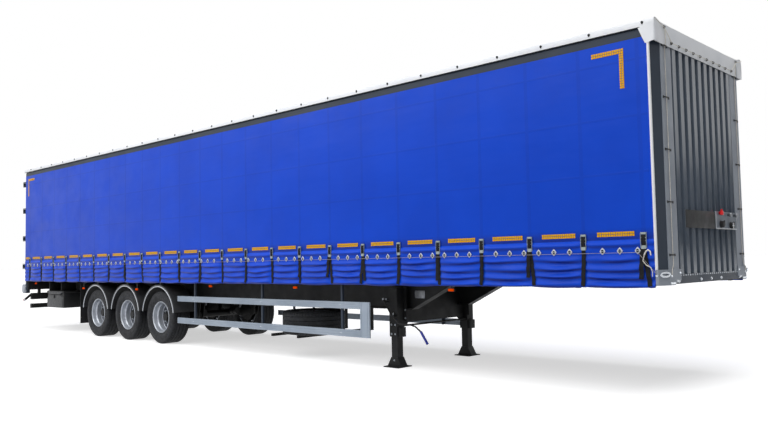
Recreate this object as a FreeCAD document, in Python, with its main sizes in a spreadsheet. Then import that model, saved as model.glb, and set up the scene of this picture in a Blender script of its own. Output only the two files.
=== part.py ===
"""A three-axle curtain-side semi trailer, standing on its wheels and landing legs.

Millimetres. +X points forward to the kingpin, +Y to the left side, +Z up. The origin is on the ground, under
the middle of the whole trailer. Pieces that come in pairs are built on the left and mirrored in the XZ plane.
"""
import FreeCAD, Part
import os
import re
import Sketcher

doc = FreeCAD.newDocument("semi_trailer")
sheet = doc.addObject("Spreadsheet::Sheet", "Dims")

# Driving dimensions: alias, value in millimetres (degrees where the name ends in _turn).
DIMENSIONS = (
    # the body's outer form
    ("body_half", 8240), ("end_half", 8350), ("curtain_face", 1275), ("roof_top", 4000),
    ("frame_side", 1256),
    # floor and chassis heights
    ("floor_front", 8190), ("floor_top", 1300), ("floor_thick", 30), ("floor_half", 1200),
    ("rail_side", 1250), ("rail_low", 1195), ("rail_wall", 8), ("rail_flange", 12), ("cross_low", 1180),
    ("cross_high", 1258), ("cross_half", 30), ("cross_pitch", 655), ("slot_half", 20),
    # main beams
    ("beam_y", 650), ("web_half", 4), ("flange_half", 70), ("flange_thick", 12), ("beam_low", 810),
    ("neck_low", 1208), ("neck_start", 5155), ("knee_x", 4340), ("knee_z", 815), ("deep_front", 3600),
    ("deep_rear", -6400), ("tail_x", -7300), ("tail_z", 930),
    # coupling
    ("plate_half", 760), ("plate_thick", 8), ("plate_rear", 5890), ("plate_front", 8110), ("kingpin_x", 6590),
    ("pin_collar", 36.5), ("pin_neck", 25.4), ("pin_flange", 35.7), ("pin_upper", 35), ("pin_lower", 70),
    ("pin_drop", 84),
    # front end
    ("sill_low", 1213), ("sill_high", 1316), ("header_low", 3760), ("post_inner", 862),
    ("roof_seat", 3920), ("post_corner", 8225), ("post_face", 8272), ("post_bend", 1130),
    ("wall_face", 8285), ("sill_bend", 1110), ("sheet_back", 8255), ("sheet_thick", 4),
    ("ridge_pitch", 177.5), ("ridge_wide", 97), ("ridge_slope", 6), ("strip_inner", 868),
    ("strip_outer", 1126), ("strip_thick", 8), ("plate_wrap", 8205), ("plate_skin", 8), ("tab_low", 1205),
    ("tab_high", 1250), ("corner_high", 1370), ("corner_inner", 850), ("tab_inner", 1000),
    # connection panel on the front wall
    ("panel_skin", 14), ("panel_left", 850), ("panel_mid", 170), ("band_right", -670), ("band_skin", 8),
    ("panel_low", 1815), ("panel_high", 2020), ("stub_long", 16),
    # roof and cant rails
    ("cant_low", 3800), ("cant_step", 3860), ("cant_inner", 1190), ("cant_lip", 1236),
    ("roof_side", 1284), ("roof_skin", 8), ("roof_flat", 3972), ("roof_hem", 3922), ("roll_inner", 74),
    ("roll_foot", 190), ("flap_low", 3745), ("roof_front", 8288), ("bow_first", -7400),
    ("bow_pitch", 1850), ("bow_half", 20), ("bow_low", 3884), ("stanchion_first", -4900),
    ("stanchion_pitch", 3250), ("stanchion_half", 60),
    # curtains
    ("curtain_low", 1180), ("curtain_high", 3820), ("curtain_front", 8200), ("curtain_rear", -8170),
    ("skirt_top", 1700), ("skirt_bulge", 1290), ("strap_half", 25), ("strap_pitch", 693.5),
    ("strap_first", 8090), ("buckle_top", 1765),
    # rear frame and doors
    ("rear_face", -8190), ("rear_inner", -8110), ("rear_post", 1190), ("rear_sill_low", 1140),
    ("apron_low", 965),
    ("door_gap", 10), ("door_thick", 30), ("door_low", 1230), ("door_high", 3900), ("door_edge", 1248),
    ("door_meet", 6), ("hinge_x", -8292), ("hinge_y", 1280), ("hinge_knuckle", 13), ("hinge_half", 45),
    ("blade_thick", 10), ("blade_inner", 1090), ("blade_outer", 1258), ("blade_turn", 1246),
    ("lug_thick", 16), ("lug_gap", 5), ("bar_radius", 12), ("bar_out", 16), ("hold_half", 30),
    ("hold_high", 20), ("handle_long", 300), ("handle_low", 1630), ("handle_high", 1665),
    # rear underside
    ("buffer_low", 880), ("buffer_high", 1100), ("buffer_inner", 1170), ("buffer_outer", 1285),
    ("buffer_bevel", 50), ("lamp_bar_low", 720), ("lamp_bar_high", 876), ("lamp_bar_half", 1130),
    ("lamp_stay_y", 930),
    ("lamp_inner", 640), ("lamp_outer", 1096), ("lamp_low", 740), ("lamp_high", 856), ("arm_tip", 1288),
    ("arm_low", 690), ("under_low", 506), ("under_high", 614), ("under_half", 1140), ("stay_y", 600),
    ("stay_wide", 40),
    # wheels and axles
    ("hub_z", 512), ("tyre_radius", 512), ("tyre_half", 192.5), ("bead_radius", 286), ("rim_seat", 285.5),
    ("rim_half", 150), ("rim_barrel", 262), ("rim_lip", 14), ("disc_out", -26), ("disc_in", -44),
    ("track_half", 1020), ("axle_front", -1765), ("axle_pitch", 1310), ("axle_radius", 63.5),
    ("axle_half", 904), ("spindle_radius", 40), ("spindle_half", 952), ("hub_bore", 43),
    ("hub_back", 110), ("hub_radius", 85), ("hub_cap", 72), ("arm_half", 40), ("cheek_thick", 20),
    ("hanger_ahead", 500), ("spring_back", 390), ("spring_seat", 500), ("chamber_radius", 78),
    ("chamber_band", 84), ("chamber_y", 400), ("chamber_z", 560), ("saddle_half", 45),
    ("saddle_front", 112), ("chamber_joint", 196), ("chamber_long", 300),
    # mudguards
    ("guard_radius", 610), ("guard_z", 528), ("guard_skin", 6), ("guard_inner", 815),
    ("guard_outer", 1250), ("guard_turn", 162.6), ("guard_lip", 28), ("flap_x", -5165),
    ("flap_foot", 250), ("flap_thick", 10), ("flap_inner", 830), ("flap_outer", 1225), ("flap_hang", 44),
    # landing legs
    ("leg_x", 4130), ("leg_y", 815), ("leg_half", 75), ("leg_top", 1120), ("leg_foot", 430),
    ("tube_half", 58), ("shoe_top", 140), ("shoe_half", 145), ("shoe_thick", 14), ("leg_plate_low", 690),
    ("leg_plate_high", 1140), ("gearbox_low", 430), ("gearbox_high", 565), ("gearbox_deep", 45),
    ("brace_low", 618), ("brace_half", 4), ("shaft_z", 580),
    ("crank_z", 720), ("crank_radius", 11),
    # side guards
    ("guard_rear", -1120), ("guard_front", 3960), ("guard_post", 190), ("side_out", 1205),
    ("side_thick", 25), ("upper_low", 829), ("upper_high", 932), ("lower_low", 425), ("lower_high", 530),
    ("upright_half", 18), ("upright_deep", 35), ("upright_high", 60),
    # spare wheel and air tanks
    ("spare_x", 2060), ("spare_y", -590), ("spare_low", 355), ("cradle_thick", 44), ("cradle_out", -1030),
    ("cradle_half", 22), ("cradle_link", 50), ("cradle_rod", 20),
    ("tank_radius", 125), ("tank_y", 250), ("tank_z", 950), ("tank_over", 60),
    # tool box, on the right side
    ("box_rear", -7020), ("box_front", -6120), ("box_out", -1200), ("box_in", -755), ("box_low", 560),
    ("box_high", 945), ("lid_low", 905), ("lid_over", 12),
)
for row, (alias, size) in enumerate(DIMENSIONS, start=1):
    sheet.set(f"A{row}", str(size))
    sheet.setAlias(f"A{row}", alias)
doc.recompute()
ALIASES = {alias for alias, size in DIMENSIONS}
nodes = []


def formula(text):
    """Writes the sheet's name in front of each alias, so that 'beam_y - 8' becomes 'Dims.beam_y - 8'."""
    def named(match):
        word = match.group(0)
        return "Dims." + word if word in ALIASES else word
    return re.sub(r"[a-z][a-z_]*", named, str(text))


def value(text):
    """The number that a formula gives now."""
    return float(sheet.evalExpression(formula(text)))


def place(piece, spot, turn=None):
    """Puts a piece at three formulas, after turning it by (axis, degrees)."""
    if turn:
        axis, degrees = turn
        rotation = FreeCAD.Rotation(FreeCAD.Vector(*axis), degrees)
        piece.Placement = FreeCAD.Placement(FreeCAD.Vector(), rotation)
    for axis, text in zip("xyz", spot):
        piece.setExpression(f"Placement.Base.{axis}", formula(text))


def block(name, x, y, z):
    """A box between a low and a high formula on each axis."""
    piece = doc.addObject("Part::Box", name)
    for size, (low, high) in zip(("Length", "Width", "Height"), (x, y, z)):
        piece.setExpression(size, formula(f"({high}) - ({low})"))
    place(piece, [low for low, high in (x, y, z)])
    return piece


TURNS = {"x": ((0, 1, 0), 90), "y": ((1, 0, 0), -90), "z": None}


def rod(name, radius, along, spot, length):
    """A round bar that starts at spot and runs along +X, +Y or +Z."""
    piece = doc.addObject("Part::Cylinder", name)
    piece.setExpression("Radius", formula(radius))
    piece.setExpression("Height", formula(length))
    place(piece, spot, TURNS[along])
    return piece


def fused(name, *pieces):
    """One solid made of pieces that touch or overlap."""
    joined = doc.addObject("Part::MultiFuse", name)
    joined.Shapes = list(pieces)
    joined.Refine = True
    return joined


def less(name, base, *tools):
    """A piece with others cut out of it."""
    tool = tools[0] if len(tools) == 1 else group(name + "_tools", tools)
    result = doc.addObject("Part::Cut", name)
    result.Base = base
    result.Tool = tool
    return result


def group(name, pieces):
    """Several solids kept apart under one name."""
    whole = doc.addObject("Part::Compound", name)
    whole.Links = list(pieces)
    return whole


def mirrored(name, piece):
    """The same piece on the right side."""
    copy = doc.addObject("Part::Mirroring", name)
    copy.Source = piece
    copy.Normal = FreeCAD.Vector(0, 1, 0)
    return copy


def node(label, *pieces):
    """Names a finished sub-part; several pieces become a compound of separate solids."""
    whole = pieces[0] if len(pieces) == 1 else group(label + "_set", pieces)
    whole.Label = label
    nodes.append(whole)
    return whole


def both_sides(label, *pieces):
    """A sub-part with the left-hand pieces and their mirror images."""
    return node(label, *pieces, *(mirrored(f"{piece.Name}_right", piece) for piece in pieces))


def plane_of(body, role):
    """One of a body's own origin planes."""
    return next(plane for plane in body.Origin.OriginFeatures if plane.Role == role)


def ring(sketch, points):
    """A closed ring of lines, each corner held by its two distances from the origin."""
    corners = [FreeCAD.Vector(value(u), value(v), 0) for u, v in points]
    first = sketch.GeometryCount
    count = len(corners)
    for here, there in zip(corners, corners[1:] + corners[:1]):
        sketch.addGeometry(Part.LineSegment(here, there), False)
    for k in range(count):
        sketch.addConstraint(Sketcher.Constraint("Coincident", first + k, 2, first + (k + 1) % count, 1))
    for k, spot in enumerate(points):
        for kind, axis, text in zip(("DistanceX", "DistanceY"), (-2, -1), spot):
            if abs(value(text)) < 1e-9:
                sketch.addConstraint(Sketcher.Constraint("PointOnObject", first + k, 1, axis))
                continue
            index = sketch.addConstraint(Sketcher.Constraint(kind, -1, 1, first + k, 1, value(text)))
            sketch.setExpression(f"Constraints[{index}]", formula(text))


def sketch_on(body, role, *rings):
    """A sketch of closed rings on one of the body's planes."""
    sketch = body.newObject("Sketcher::SketchObject", body.Name + "_sketch")
    sketch.AttachmentSupport = [(plane_of(body, role), "")]
    sketch.MapMode = "FlatFace"
    for points in rings:
        ring(sketch, points)
    return sketch


# plane: (role of the sketch's plane, axis of the pad, whether the pad is turned round to point up that axis)
PLANES = {"x": ("YZ_Plane", 0, False), "y": ("XZ_Plane", 1, True), "z": ("XY_Plane", 2, False)}


def prism(name, along, points, low, high):
    """A profile padded along X, Y or Z from a low to a high formula."""
    role, axis, turned = PLANES[along]
    body = doc.addObject("PartDesign::Body", name)
    sketch = sketch_on(body, role, points)
    pad = body.newObject("PartDesign::Pad", name + "_pad")
    pad.Profile = sketch
    pad.Reversed = turned
    pad.setExpression("Length", formula(f"({high}) - ({low})"))
    sketch.Visibility = False
    body.setExpression("Placement.Base." + "xyz"[axis], formula(low))
    return body


def turned(name, points, spot, turn=None, sweep=None):
    """A profile of (radius, place on the axis) turned round its own Y axis."""
    body = doc.addObject("PartDesign::Body", name)
    sketch = sketch_on(body, "XY_Plane", points)
    feature = body.newObject("PartDesign::Revolution", name + "_turn")
    feature.Profile = sketch
    feature.ReferenceAxis = (sketch, ["V_Axis"])
    if sweep:
        feature.Midplane = True
        feature.setExpression("Angle", formula(sweep))
    else:
        feature.Angle = 360
    place(body, spot, turn)
    return body


# ---------------------------------------------------------------------------------------------- chassis

CROSS_COUNT = 25          # cross members, one over each axle and one at the landing legs
CROSS_LAST = 15           # steps of the pitch from the front axle to the foremost one
NECK_CROSS_LOW = "neck_low + flange_thick"
cross_steps = range(CROSS_LAST - CROSS_COUNT + 1, CROSS_LAST + 1)
cross_places = [f"axle_front + ({k}) * cross_pitch" for k in cross_steps]
behind_neck = [x for x in cross_places if value(x) < value("neck_start")]
over_neck = cross_places[len(behind_neck):]


def beam(name, low_line, places, slot_low):
    """One I-beam whose lower flange follows low_line, with a slot in its web for each cross member."""
    top = "floor_top - floor_thick"
    rear, front = low_line[0][0], low_line[-1][0]
    web = prism(f"{name}_web", "y", low_line + [(front, top), (rear, top)],
                "beam_y - web_half", "beam_y + web_half")
    band = low_line + [(x, f"{z} + flange_thick") for x, z in reversed(low_line)]
    lower = prism(f"{name}_lower_flange", "y", band, "beam_y - flange_half", "beam_y + flange_half")
    upper = block(f"{name}_upper_flange", (rear, front), ("beam_y - flange_half", "beam_y + flange_half"),
                  (f"{top} - flange_thick", top))
    slots = [block(f"{name}_slot_{k}", (f"{x} - cross_half", f"{x} + cross_half"),
                   ("beam_y - slot_half", "beam_y + slot_half"), (slot_low, "cross_high"))
             for k, x in enumerate(places)]
    return less(f"{name}_left", fused(f"{name}_whole", web, lower, upper), *slots)


def main_beams():
    """Two deep beams that slope up at the front to the shallow beams of the neck."""
    deep = [("rear_inner", "tail_z"), ("tail_x", "tail_z"), ("deep_rear", "beam_low"),
            ("deep_front", "beam_low"), ("knee_x", "knee_z"), ("neck_start", "neck_low")]
    neck = [("neck_start", "neck_low"), ("floor_front", "neck_low")]
    both_sides("main_beams", beam("beam", deep, behind_neck, "cross_low"))
    both_sides("neck_beams", beam("neck", neck, over_neck, NECK_CROSS_LOW))


def cross_members():
    """Box sections right across the chassis, through the beams' webs and up to the side rails."""
    end = "rail_side - rail_wall"
    bars = []
    for low, places in (("cross_low", behind_neck), (NECK_CROSS_LOW, over_neck)):
        for x in places:
            bars.append(block(f"cross_{len(bars)}", (f"{x} - cross_half", f"{x} + cross_half"),
                              (f"-({end})", end), (low, "cross_high")))
    node("cross_members", *bars)


def side_rails():
    """Outer rails of angle section: an upright web and a flange that carries the floor's edge."""
    section = [("rail_side - rail_wall", "rail_low"), ("rail_side", "rail_low"), ("rail_side", "floor_top"),
               ("floor_half", "floor_top"), ("floor_half", "floor_top - rail_flange"),
               ("rail_side - rail_wall", "floor_top - rail_flange")]
    both_sides("side_rails", prism("rail", "x", section, "rear_inner", "floor_front"))


def floor():
    node("floor", block("floor_board", ("rear_inner", "floor_front"), ("-floor_half", "floor_half"),
                        ("floor_top - floor_thick", "floor_top")))


def coupler_plate():
    """The rubbing plate under the neck, with the kingpin: upper collar, neck and lower flange."""
    plate = block("coupler_sheet", ("plate_rear", "plate_front"), ("-plate_half", "plate_half"),
                  ("neck_low - plate_thick", "neck_low"))
    profile = [("0", "0"), ("pin_collar", "0"), ("pin_collar", "-pin_upper"), ("pin_neck", "-pin_upper"),
               ("pin_neck", "-pin_lower"), ("pin_flange", "-pin_lower"), ("pin_flange", "-pin_drop"),
               ("0", "-pin_drop")]
    pin = turned("kingpin", profile, ("kingpin_x", "0", "neck_low - plate_thick"), ((1, 0, 0), 90))
    node("coupler_plate", plate)
    node("kingpin", pin)


# ---------------------------------------------------------------------------------------------- body

RIDGES = 10
BOWS = 9
STRAPS = 24
STANCHIONS = 4


def front_frame():
    """Corner posts with a slanted outer face, and the header and sill that hold the pressed front wall."""
    rear = "floor_front"
    plan = [(rear, "post_inner"), (rear, "frame_side"), ("post_corner", "frame_side"),
            ("post_face", "post_bend"), ("post_face", "post_inner")]
    post = prism("front_post", "z", plan, "sill_high", "roof_seat")
    header = block("front_header", (rear, "post_face"), ("-post_inner", "post_inner"),
                   ("header_low", "roof_seat"))
    half = [("wall_face", "sill_bend"), ("post_corner", "frame_side"), (rear, "frame_side")]
    other_half = [(x, f"-({y})") for x, y in reversed(half)]
    sill = prism("front_sill", "z", half + other_half, "sill_low", "sill_high")
    node("front_frame", fused("front_frame_whole", post, mirrored("front_post_right", post), header, sill))


def front_wall():
    """A pressed steel sheet with ten upright ridges, open behind."""
    outer = [("sheet_back", "-post_inner")]
    inner = [("sheet_back - sheet_thick", "-post_inner")]
    back = "wall_face - sheet_thick"
    for k in range(RIDGES):
        left = f"({k} - {RIDGES - 1} / 2) * ridge_pitch - ridge_wide / 2"
        right = f"{left} + ridge_wide"
        outer += [("sheet_back", left), ("wall_face", f"{left} + ridge_slope"),
                  ("wall_face", f"{right} - ridge_slope"), ("sheet_back", right)]
        inner += [("sheet_back - sheet_thick", f"{left} + sheet_thick"),
                  (back, f"{left} + sheet_thick + ridge_slope"),
                  (back, f"{right} - sheet_thick - ridge_slope"),
                  ("sheet_back - sheet_thick", f"{right} - sheet_thick")]
    outer.append(("sheet_back", "post_inner"))
    inner.append(("sheet_back - sheet_thick", "post_inner"))
    node("front_wall", prism("pressed_sheet", "z", outer + inner[::-1], "sill_high", "header_low"))


def front_strips():
    """Pale flat profiles on the posts' faces; the roof's tilt cord runs down them."""
    strip = block("front_strip", ("post_face", "post_face + strip_thick"), ("strip_inner", "strip_outer"),
                  ("sill_high", "header_low + 20"))
    both_sides("front_strips", strip)


def corner_plates():
    """Bent aluminium plates round the front lower corners, each with a lower tab."""
    outside = [("plate_wrap", "curtain_face + 9"), ("plate_wrap + 29", "curtain_face + 9"),
               ("wall_face + plate_skin", "post_bend + 4")]
    inside = [("wall_face", "post_bend + 2"), ("plate_wrap + 24", "curtain_face + 1"),
              ("plate_wrap", "curtain_face + 1")]
    parts = []
    for name, inner, span in (("face", "corner_inner", ("tab_high", "corner_high")),
                              ("tab", "tab_inner", ("tab_low", "tab_high"))):
        plan = outside + [("wall_face + plate_skin", inner), ("wall_face", inner)] + inside
        parts.append(prism(f"corner_{name}", "z", plan, *span))
    packer = block("corner_packer", ("plate_wrap + 2", "post_corner - 2"), ("frame_side", "curtain_face + 1"),
                   ("tab_high", "sill_high"))
    both_sides("corner_plates", fused("corner_plate", *parts, packer))


def cant_rails():
    """The long roof rails that carry the curtain rollers."""
    section = [("cant_inner", "cant_step"), ("cant_lip", "cant_step"), ("cant_lip", "cant_low"),
               ("frame_side", "cant_low"), ("frame_side", "roof_seat"), ("cant_inner", "roof_seat")]
    both_sides("cant_rails", prism("cant_rail", "x", section, "rear_inner", "floor_front"))


def roof_bows():
    """Cross bows between the cant rails, under the cover."""
    places = [f"bow_first + {k} * bow_pitch" for k in range(BOWS)]
    bows = [block(f"bow_{k}", (f"{x} - bow_half", f"{x} + bow_half"), ("-cant_inner", "cant_inner"),
                  ("bow_low", "roof_flat - roof_skin")) for k, x in enumerate(places)]
    node("roof_bows", *bows)


def roof_cover():
    """The sliding tarpaulin roof: a flat skin with a roll along each side, and a flap over the header."""
    half = [("roof_side", "roof_hem"), ("roof_side", "roof_top - 26"), ("roof_side - 8", "roof_top - 8"),
            ("roof_side - 24", "roof_top"), ("roof_side - roll_inner", "roof_top - 3"),
            ("roof_side - roll_foot", "roof_flat")]
    inside = [("roof_side - roof_skin", "roof_hem"), ("roof_side - roof_skin", "roof_top - 28"),
              ("roof_side - roof_skin - 18", "roof_top - 10"),
              ("roof_side - roll_inner - 2", "roof_top - 12"),
              ("roof_side - roll_foot - 2", "roof_flat - roof_skin")]
    section = half + [(f"-({y})", z) for y, z in reversed(half)]
    section += [(f"-({y})", z) for y, z in inside] + inside[::-1]
    skin = prism("roof_skin_pad", "x", section, "-body_half", "roof_front")
    ends = half + [(f"-({y})", z) for y, z in reversed(half)]
    front = prism("roof_flap", "x", [("roof_side", "flap_low")] + ends[1:-1] + [("-roof_side", "flap_low")],
                  "roof_front", "roof_front + roof_skin")
    rear = prism("roof_tail", "x", ends, "-body_half - roof_skin", "-body_half")
    node("roof_cover", fused("roof_cover_whole", skin, front, rear))


SKIRT = [("frame_side + 10", "curtain_low"), ("skirt_bulge - 6", "curtain_low + 80"),
         ("skirt_bulge", "curtain_low + 220"), ("skirt_bulge - 4", "skirt_top - 140"),
         ("curtain_face", "skirt_top")]


def curtains():
    """Each curtain is a thin slab with a skirt that swells below the tightened part."""
    section = [("frame_side", "curtain_low")] + SKIRT + [("curtain_face", "curtain_high"),
                                                         ("frame_side", "curtain_high")]
    left = prism("curtain_sheet", "x", section, "curtain_rear", "curtain_front")
    node("curtain_left", left)
    node("curtain_right", mirrored("curtain_sheet_right", left))


def curtain_straps():
    """Twenty-four straps a side, each with an over-centre buckle at its top."""
    outside = [("curtain_face + 19", "buckle_top"), ("curtain_face + 21", "skirt_top - 60"),
               ("skirt_bulge + 2", "skirt_top - 125"), ("skirt_bulge + 1", "skirt_top - 140"),
               ("skirt_bulge + 5", "curtain_low + 220"), ("skirt_bulge - 1", "curtain_low + 78"),
               ("frame_side + 16", "curtain_low")]
    section = SKIRT + [("curtain_face", "buckle_top")] + outside
    straps = []
    for k in range(STRAPS):
        x = f"strap_first - {k} * strap_pitch"
        straps.append(prism(f"strap_{k}", "x", section, f"{x} - strap_half", f"{x} + strap_half"))
    both_sides("curtain_straps", *straps)


def side_posts():
    """Sliding stanchions between the side rails and the cant rails, notched round the rail's lip."""
    posts = []
    for k in range(STANCHIONS):
        x = f"stanchion_first + {k} * stanchion_pitch"
        post = block(f"side_post_{k}", (f"{x} - stanchion_half", f"{x} + stanchion_half"),
                     ("floor_half", "rail_side"), ("floor_top", "cant_step"))
        notch = block(f"side_post_slot_{k}", (f"{x} - stanchion_half - 1", f"{x} + stanchion_half + 1"),
                      ("cant_lip", "frame_side"), ("cant_low", "cant_step + 1"))
        posts.append(less(f"side_post_cut_{k}", post, notch))
    both_sides("side_posts", *posts)


# name, distance from the middle, height, radius of each air or electric connection
CONNECTIONS = (("supply", 290, 2000, 27), ("control", 560, 1985, 27), ("socket_a", 335, 1870, 38),
               ("socket_b", 650, 1862, 38))


def service_panel():
    """The connection panel on the front wall, and the plain band beside it."""
    plate = block("service_plate", ("wall_face", "wall_face + panel_skin"), ("panel_mid", "panel_left"),
                  ("panel_low", "panel_high"))
    band = block("service_band", ("wall_face", "wall_face + band_skin"), ("band_right", "panel_mid"),
                 ("panel_low", "panel_high - 10"))
    node("service_panel", fused("service_panel_whole", plate, band))
    couplings = []
    foot = "wall_face + panel_skin"
    for name, y, z, radius in CONNECTIONS:
        stub = rod(f"{name}_stub", str(radius * 0.6), "x", (foot, str(y), str(z)), "stub_long")
        head = rod(f"{name}_head", str(radius), "x", (f"{foot} + stub_long", str(y), str(z)),
                   f"end_half - ({foot} + stub_long)")
        couplings.append(fused(name, stub, head))
    node("service_couplings", *couplings)


# ---------------------------------------------------------------------------------------------- rear

HINGE_HEIGHTS = (1550, 2250, 2950, 3620)
HOLD_HEIGHTS = (1290, 1950, 2600, 3250, 3840)
LOCK_BARS = (180, 910)         # distance of each lock bar from the middle


def rear_frame():
    """The portal behind the load space, with corner legs and a pair of lugs at each hinge."""
    deep = ("rear_face", "rear_inner")
    post = block("rear_post_block", deep, ("rear_post", "frame_side"), ("rear_sill_low", "roof_seat"))
    header = block("rear_header", deep, ("-rear_post", "rear_post"), ("cant_low", "roof_seat"))
    sill = block("rear_sill", deep, ("-rear_post", "rear_post"), ("rear_sill_low", "floor_top"))
    leg = block("rear_corner_leg", ("rear_face", "rear_face + 60"), ("buffer_inner", "frame_side"),
                ("buffer_low", "rear_sill_low"))
    lugs = []
    for z in HINGE_HEIGHTS:
        for low in (f"{z} + hinge_half + lug_gap", f"{z} - hinge_half - lug_gap - lug_thick"):
            span = (low, f"{low} + lug_thick")
            number = len(lugs)
            plate = block(f"lug_plate_{number}", ("hinge_x", "rear_face + 10"),
                          ("frame_side", "hinge_y + hinge_knuckle"), span)
            nose = rod(f"lug_nose_{number}", "hinge_knuckle", "z", ("hinge_x", "hinge_y", low), "lug_thick")
            lugs.append(fused(f"lug_{number}", plate, nose))
    side = fused("rear_side", post, leg, *lugs)
    node("rear_frame", fused("rear_frame_whole", side, mirrored("rear_side_right", side), header, sill))


def door(side, label):
    """One leaf: a panel, its hinge blades round the pins, and two lock bars with cams and a handle."""
    face = "rear_face - door_gap - door_thick"
    panel = block(f"{label}_panel", (face, "rear_face - door_gap"), ("door_meet", "door_edge"),
                  ("door_low", "door_high"))
    pieces = [panel]
    for k, z in enumerate(HINGE_HEIGHTS):
        span = (f"{z} - hinge_half", f"{z} + hinge_half")
        tip = "hinge_x - blade_thick / 2"
        blade = block(f"{label}_blade_{k}", (f"{face} - blade_thick", face), ("blade_inner", "blade_outer"),
                      span)
        arm = block(f"{label}_arm_{k}", (tip, face), ("blade_turn", "blade_outer"), span)
        foot = block(f"{label}_foot_{k}", (tip, f"{tip} + blade_thick"), ("blade_turn", "hinge_y"), span)
        barrel = rod(f"{label}_barrel_{k}", "hinge_knuckle", "z", ("hinge_x", "hinge_y", span[0]),
                     "2 * hinge_half")
        pieces += [blade, arm, foot, barrel]
    leaf = fused(f"{label}_leaf", *pieces)
    bars = []
    for k, y in enumerate(LOCK_BARS):
        centre = f"{face} - bar_out"
        bar = rod(f"{label}_bar_{k}", "bar_radius", "z", (centre, str(y), "door_low + 20"),
                  "door_high - door_low - 40")
        wide = (f"{y} - hold_half", f"{y} + hold_half")
        holds = []
        for n, z in enumerate(HOLD_HEIGHTS):
            holds.append(block(f"{label}_hold_{k}_{n}", (centre, face), wide,
                               (f"{z} - hold_high", f"{z} + hold_high")))
        handle = block(f"{label}_handle_{k}", (f"{centre} - bar_radius", f"{centre} - 2"),
                       (f"{y}", f"{y} + handle_long"), ("handle_low", "handle_high"))
        bars.append(fused(f"{label}_lock_{k}", bar, handle, *holds))
    if side > 0:
        node(label, leaf)
        node(label + "_bars", *bars)
    else:
        node(label, mirrored(f"{label}_mirror", leaf))
        node(label + "_bars", *(mirrored(f"{bar.Name}_mirror", bar) for bar in bars))


def rear_underside():
    """Buffers, the lamp bar with its slanting marker arms, the underrun bar, end plates and stays."""
    outer = "-end_half + 30"
    side_view = [(outer, "buffer_low"), ("rear_face", "buffer_low"), ("rear_face", "buffer_high"),
                 (outer, "buffer_high"), ("-end_half", "buffer_high - buffer_bevel"),
                 ("-end_half", "buffer_low + buffer_bevel")]
    buffer = prism("buffer", "y", side_view, "buffer_inner", "buffer_outer")
    both_sides("rear_buffers", buffer)
    lamp_bar = block("lamp_bar", ("rear_face - 10", "rear_face + 90"), ("-lamp_bar_half", "lamp_bar_half"),
                     ("lamp_bar_low", "lamp_bar_high"))
    under = block("under_bar", ("rear_face + 20", "rear_face + 120"), ("-under_half", "under_half"),
                  ("under_low", "under_high"))
    stays = [block(f"under_stay_{k}", ("rear_face + 90", "rear_face + 190"), (y, f"{y} + stay_wide"),
                   ("under_low", "tail_z")) for k, y in enumerate(("stay_y", "-stay_y - stay_wide"))]
    slant = [("lamp_outer + 4", "lamp_high"), ("lamp_outer + 32", "lamp_high"), ("arm_tip", "arm_low + 32"),
             ("arm_tip", "arm_low"), ("arm_tip - 32", "arm_low"), ("lamp_outer + 4", "lamp_high - 44")]
    arm = prism("marker_arm", "x", slant, "rear_face - 40", "rear_face - 10")
    arms = (arm, mirrored("marker_arm_right", arm))
    node("rear_bumper", fused("rear_bumper_whole", lamp_bar, under, *stays, *arms))
    apron = block("apron_plate", ("rear_inner", "rear_inner + 50"),
                  ("beam_y + flange_half", "rail_side - rail_wall"), ("apron_low", "rail_low"))
    lamp_stay = block("lamp_stay", ("rear_face + 75", "rear_face + 125"),
                      ("lamp_stay_y", "lamp_stay_y + 60"), ("lamp_bar_high", "apron_low"))
    both_sides("rear_apron", apron, lamp_stay)
    lamp = block("rear_lamp", ("rear_face - 30", "rear_face - 10"), ("lamp_inner", "lamp_outer"),
                 ("lamp_low", "lamp_high"))
    both_sides("rear_lamps", lamp)


# ---------------------------------------------------------------------------------------------- running gear

AXLES = 3


def wheel_profiles():
    """(tyre, outer and inner rim) as rings of (radius, place outwards from the wheel's middle)."""
    shoulder = [("bead_radius", "rim_half"), ("bead_radius + 18", "rim_half"),
                ("bead_radius + 60", "tyre_half - 14"), ("bead_radius + 120", "tyre_half"),
                ("tyre_radius - 42", "tyre_half - 6"), ("tyre_radius - 10", "tyre_half - 26"),
                ("tyre_radius", "tyre_half - 52")]
    tyre = [(radius, f"-({out})") for radius, out in shoulder] + shoulder[::-1]
    flange = "rim_half + rim_lip"
    barrel = [("rim_barrel", "disc_in"), ("rim_barrel", "-rim_half"), ("rim_seat + 16", f"-({flange})"),
              ("rim_seat + 16", "-rim_half"), ("rim_seat", "-rim_half"), ("rim_seat", "rim_half"),
              ("rim_seat + 16", "rim_half"), ("rim_seat + 16", flange), ("rim_barrel", "rim_half"),
              ("rim_barrel", "disc_out")]
    return tyre, barrel


def wheels():
    """Six single wheels, numbered from the front axle; a dished disc joins each rim to its hub."""
    tyre, barrel = wheel_profiles()
    back = [("0", "-hub_back + 52"), ("hub_bore", "-hub_back + 52"), ("hub_bore", "-hub_back"),
            ("140", "-hub_back"), ("140", "disc_in - 16")]
    face = [("150", "disc_in"), ("135", "-20"), ("hub_radius", "-14"), ("hub_radius", "hub_cap - 10"),
            ("hub_radius - 15", "hub_cap"), ("0", "hub_cap")]
    rim = back + barrel + face
    for side, y, turn in (("left", "track_half", 0), ("right", "-track_half", 180)):
        for axle in range(AXLES):
            spot = (f"axle_front - {axle} * axle_pitch", y, "hub_z")
            name = f"{side}_{axle + 1}"
            node("tyre_" + name, turned("tyre_body_" + name, tyre, spot, ((1, 0, 0), turn)))
            node("rim_" + name, turned("rim_body_" + name, rim, spot, ((1, 0, 0), turn)))


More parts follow.
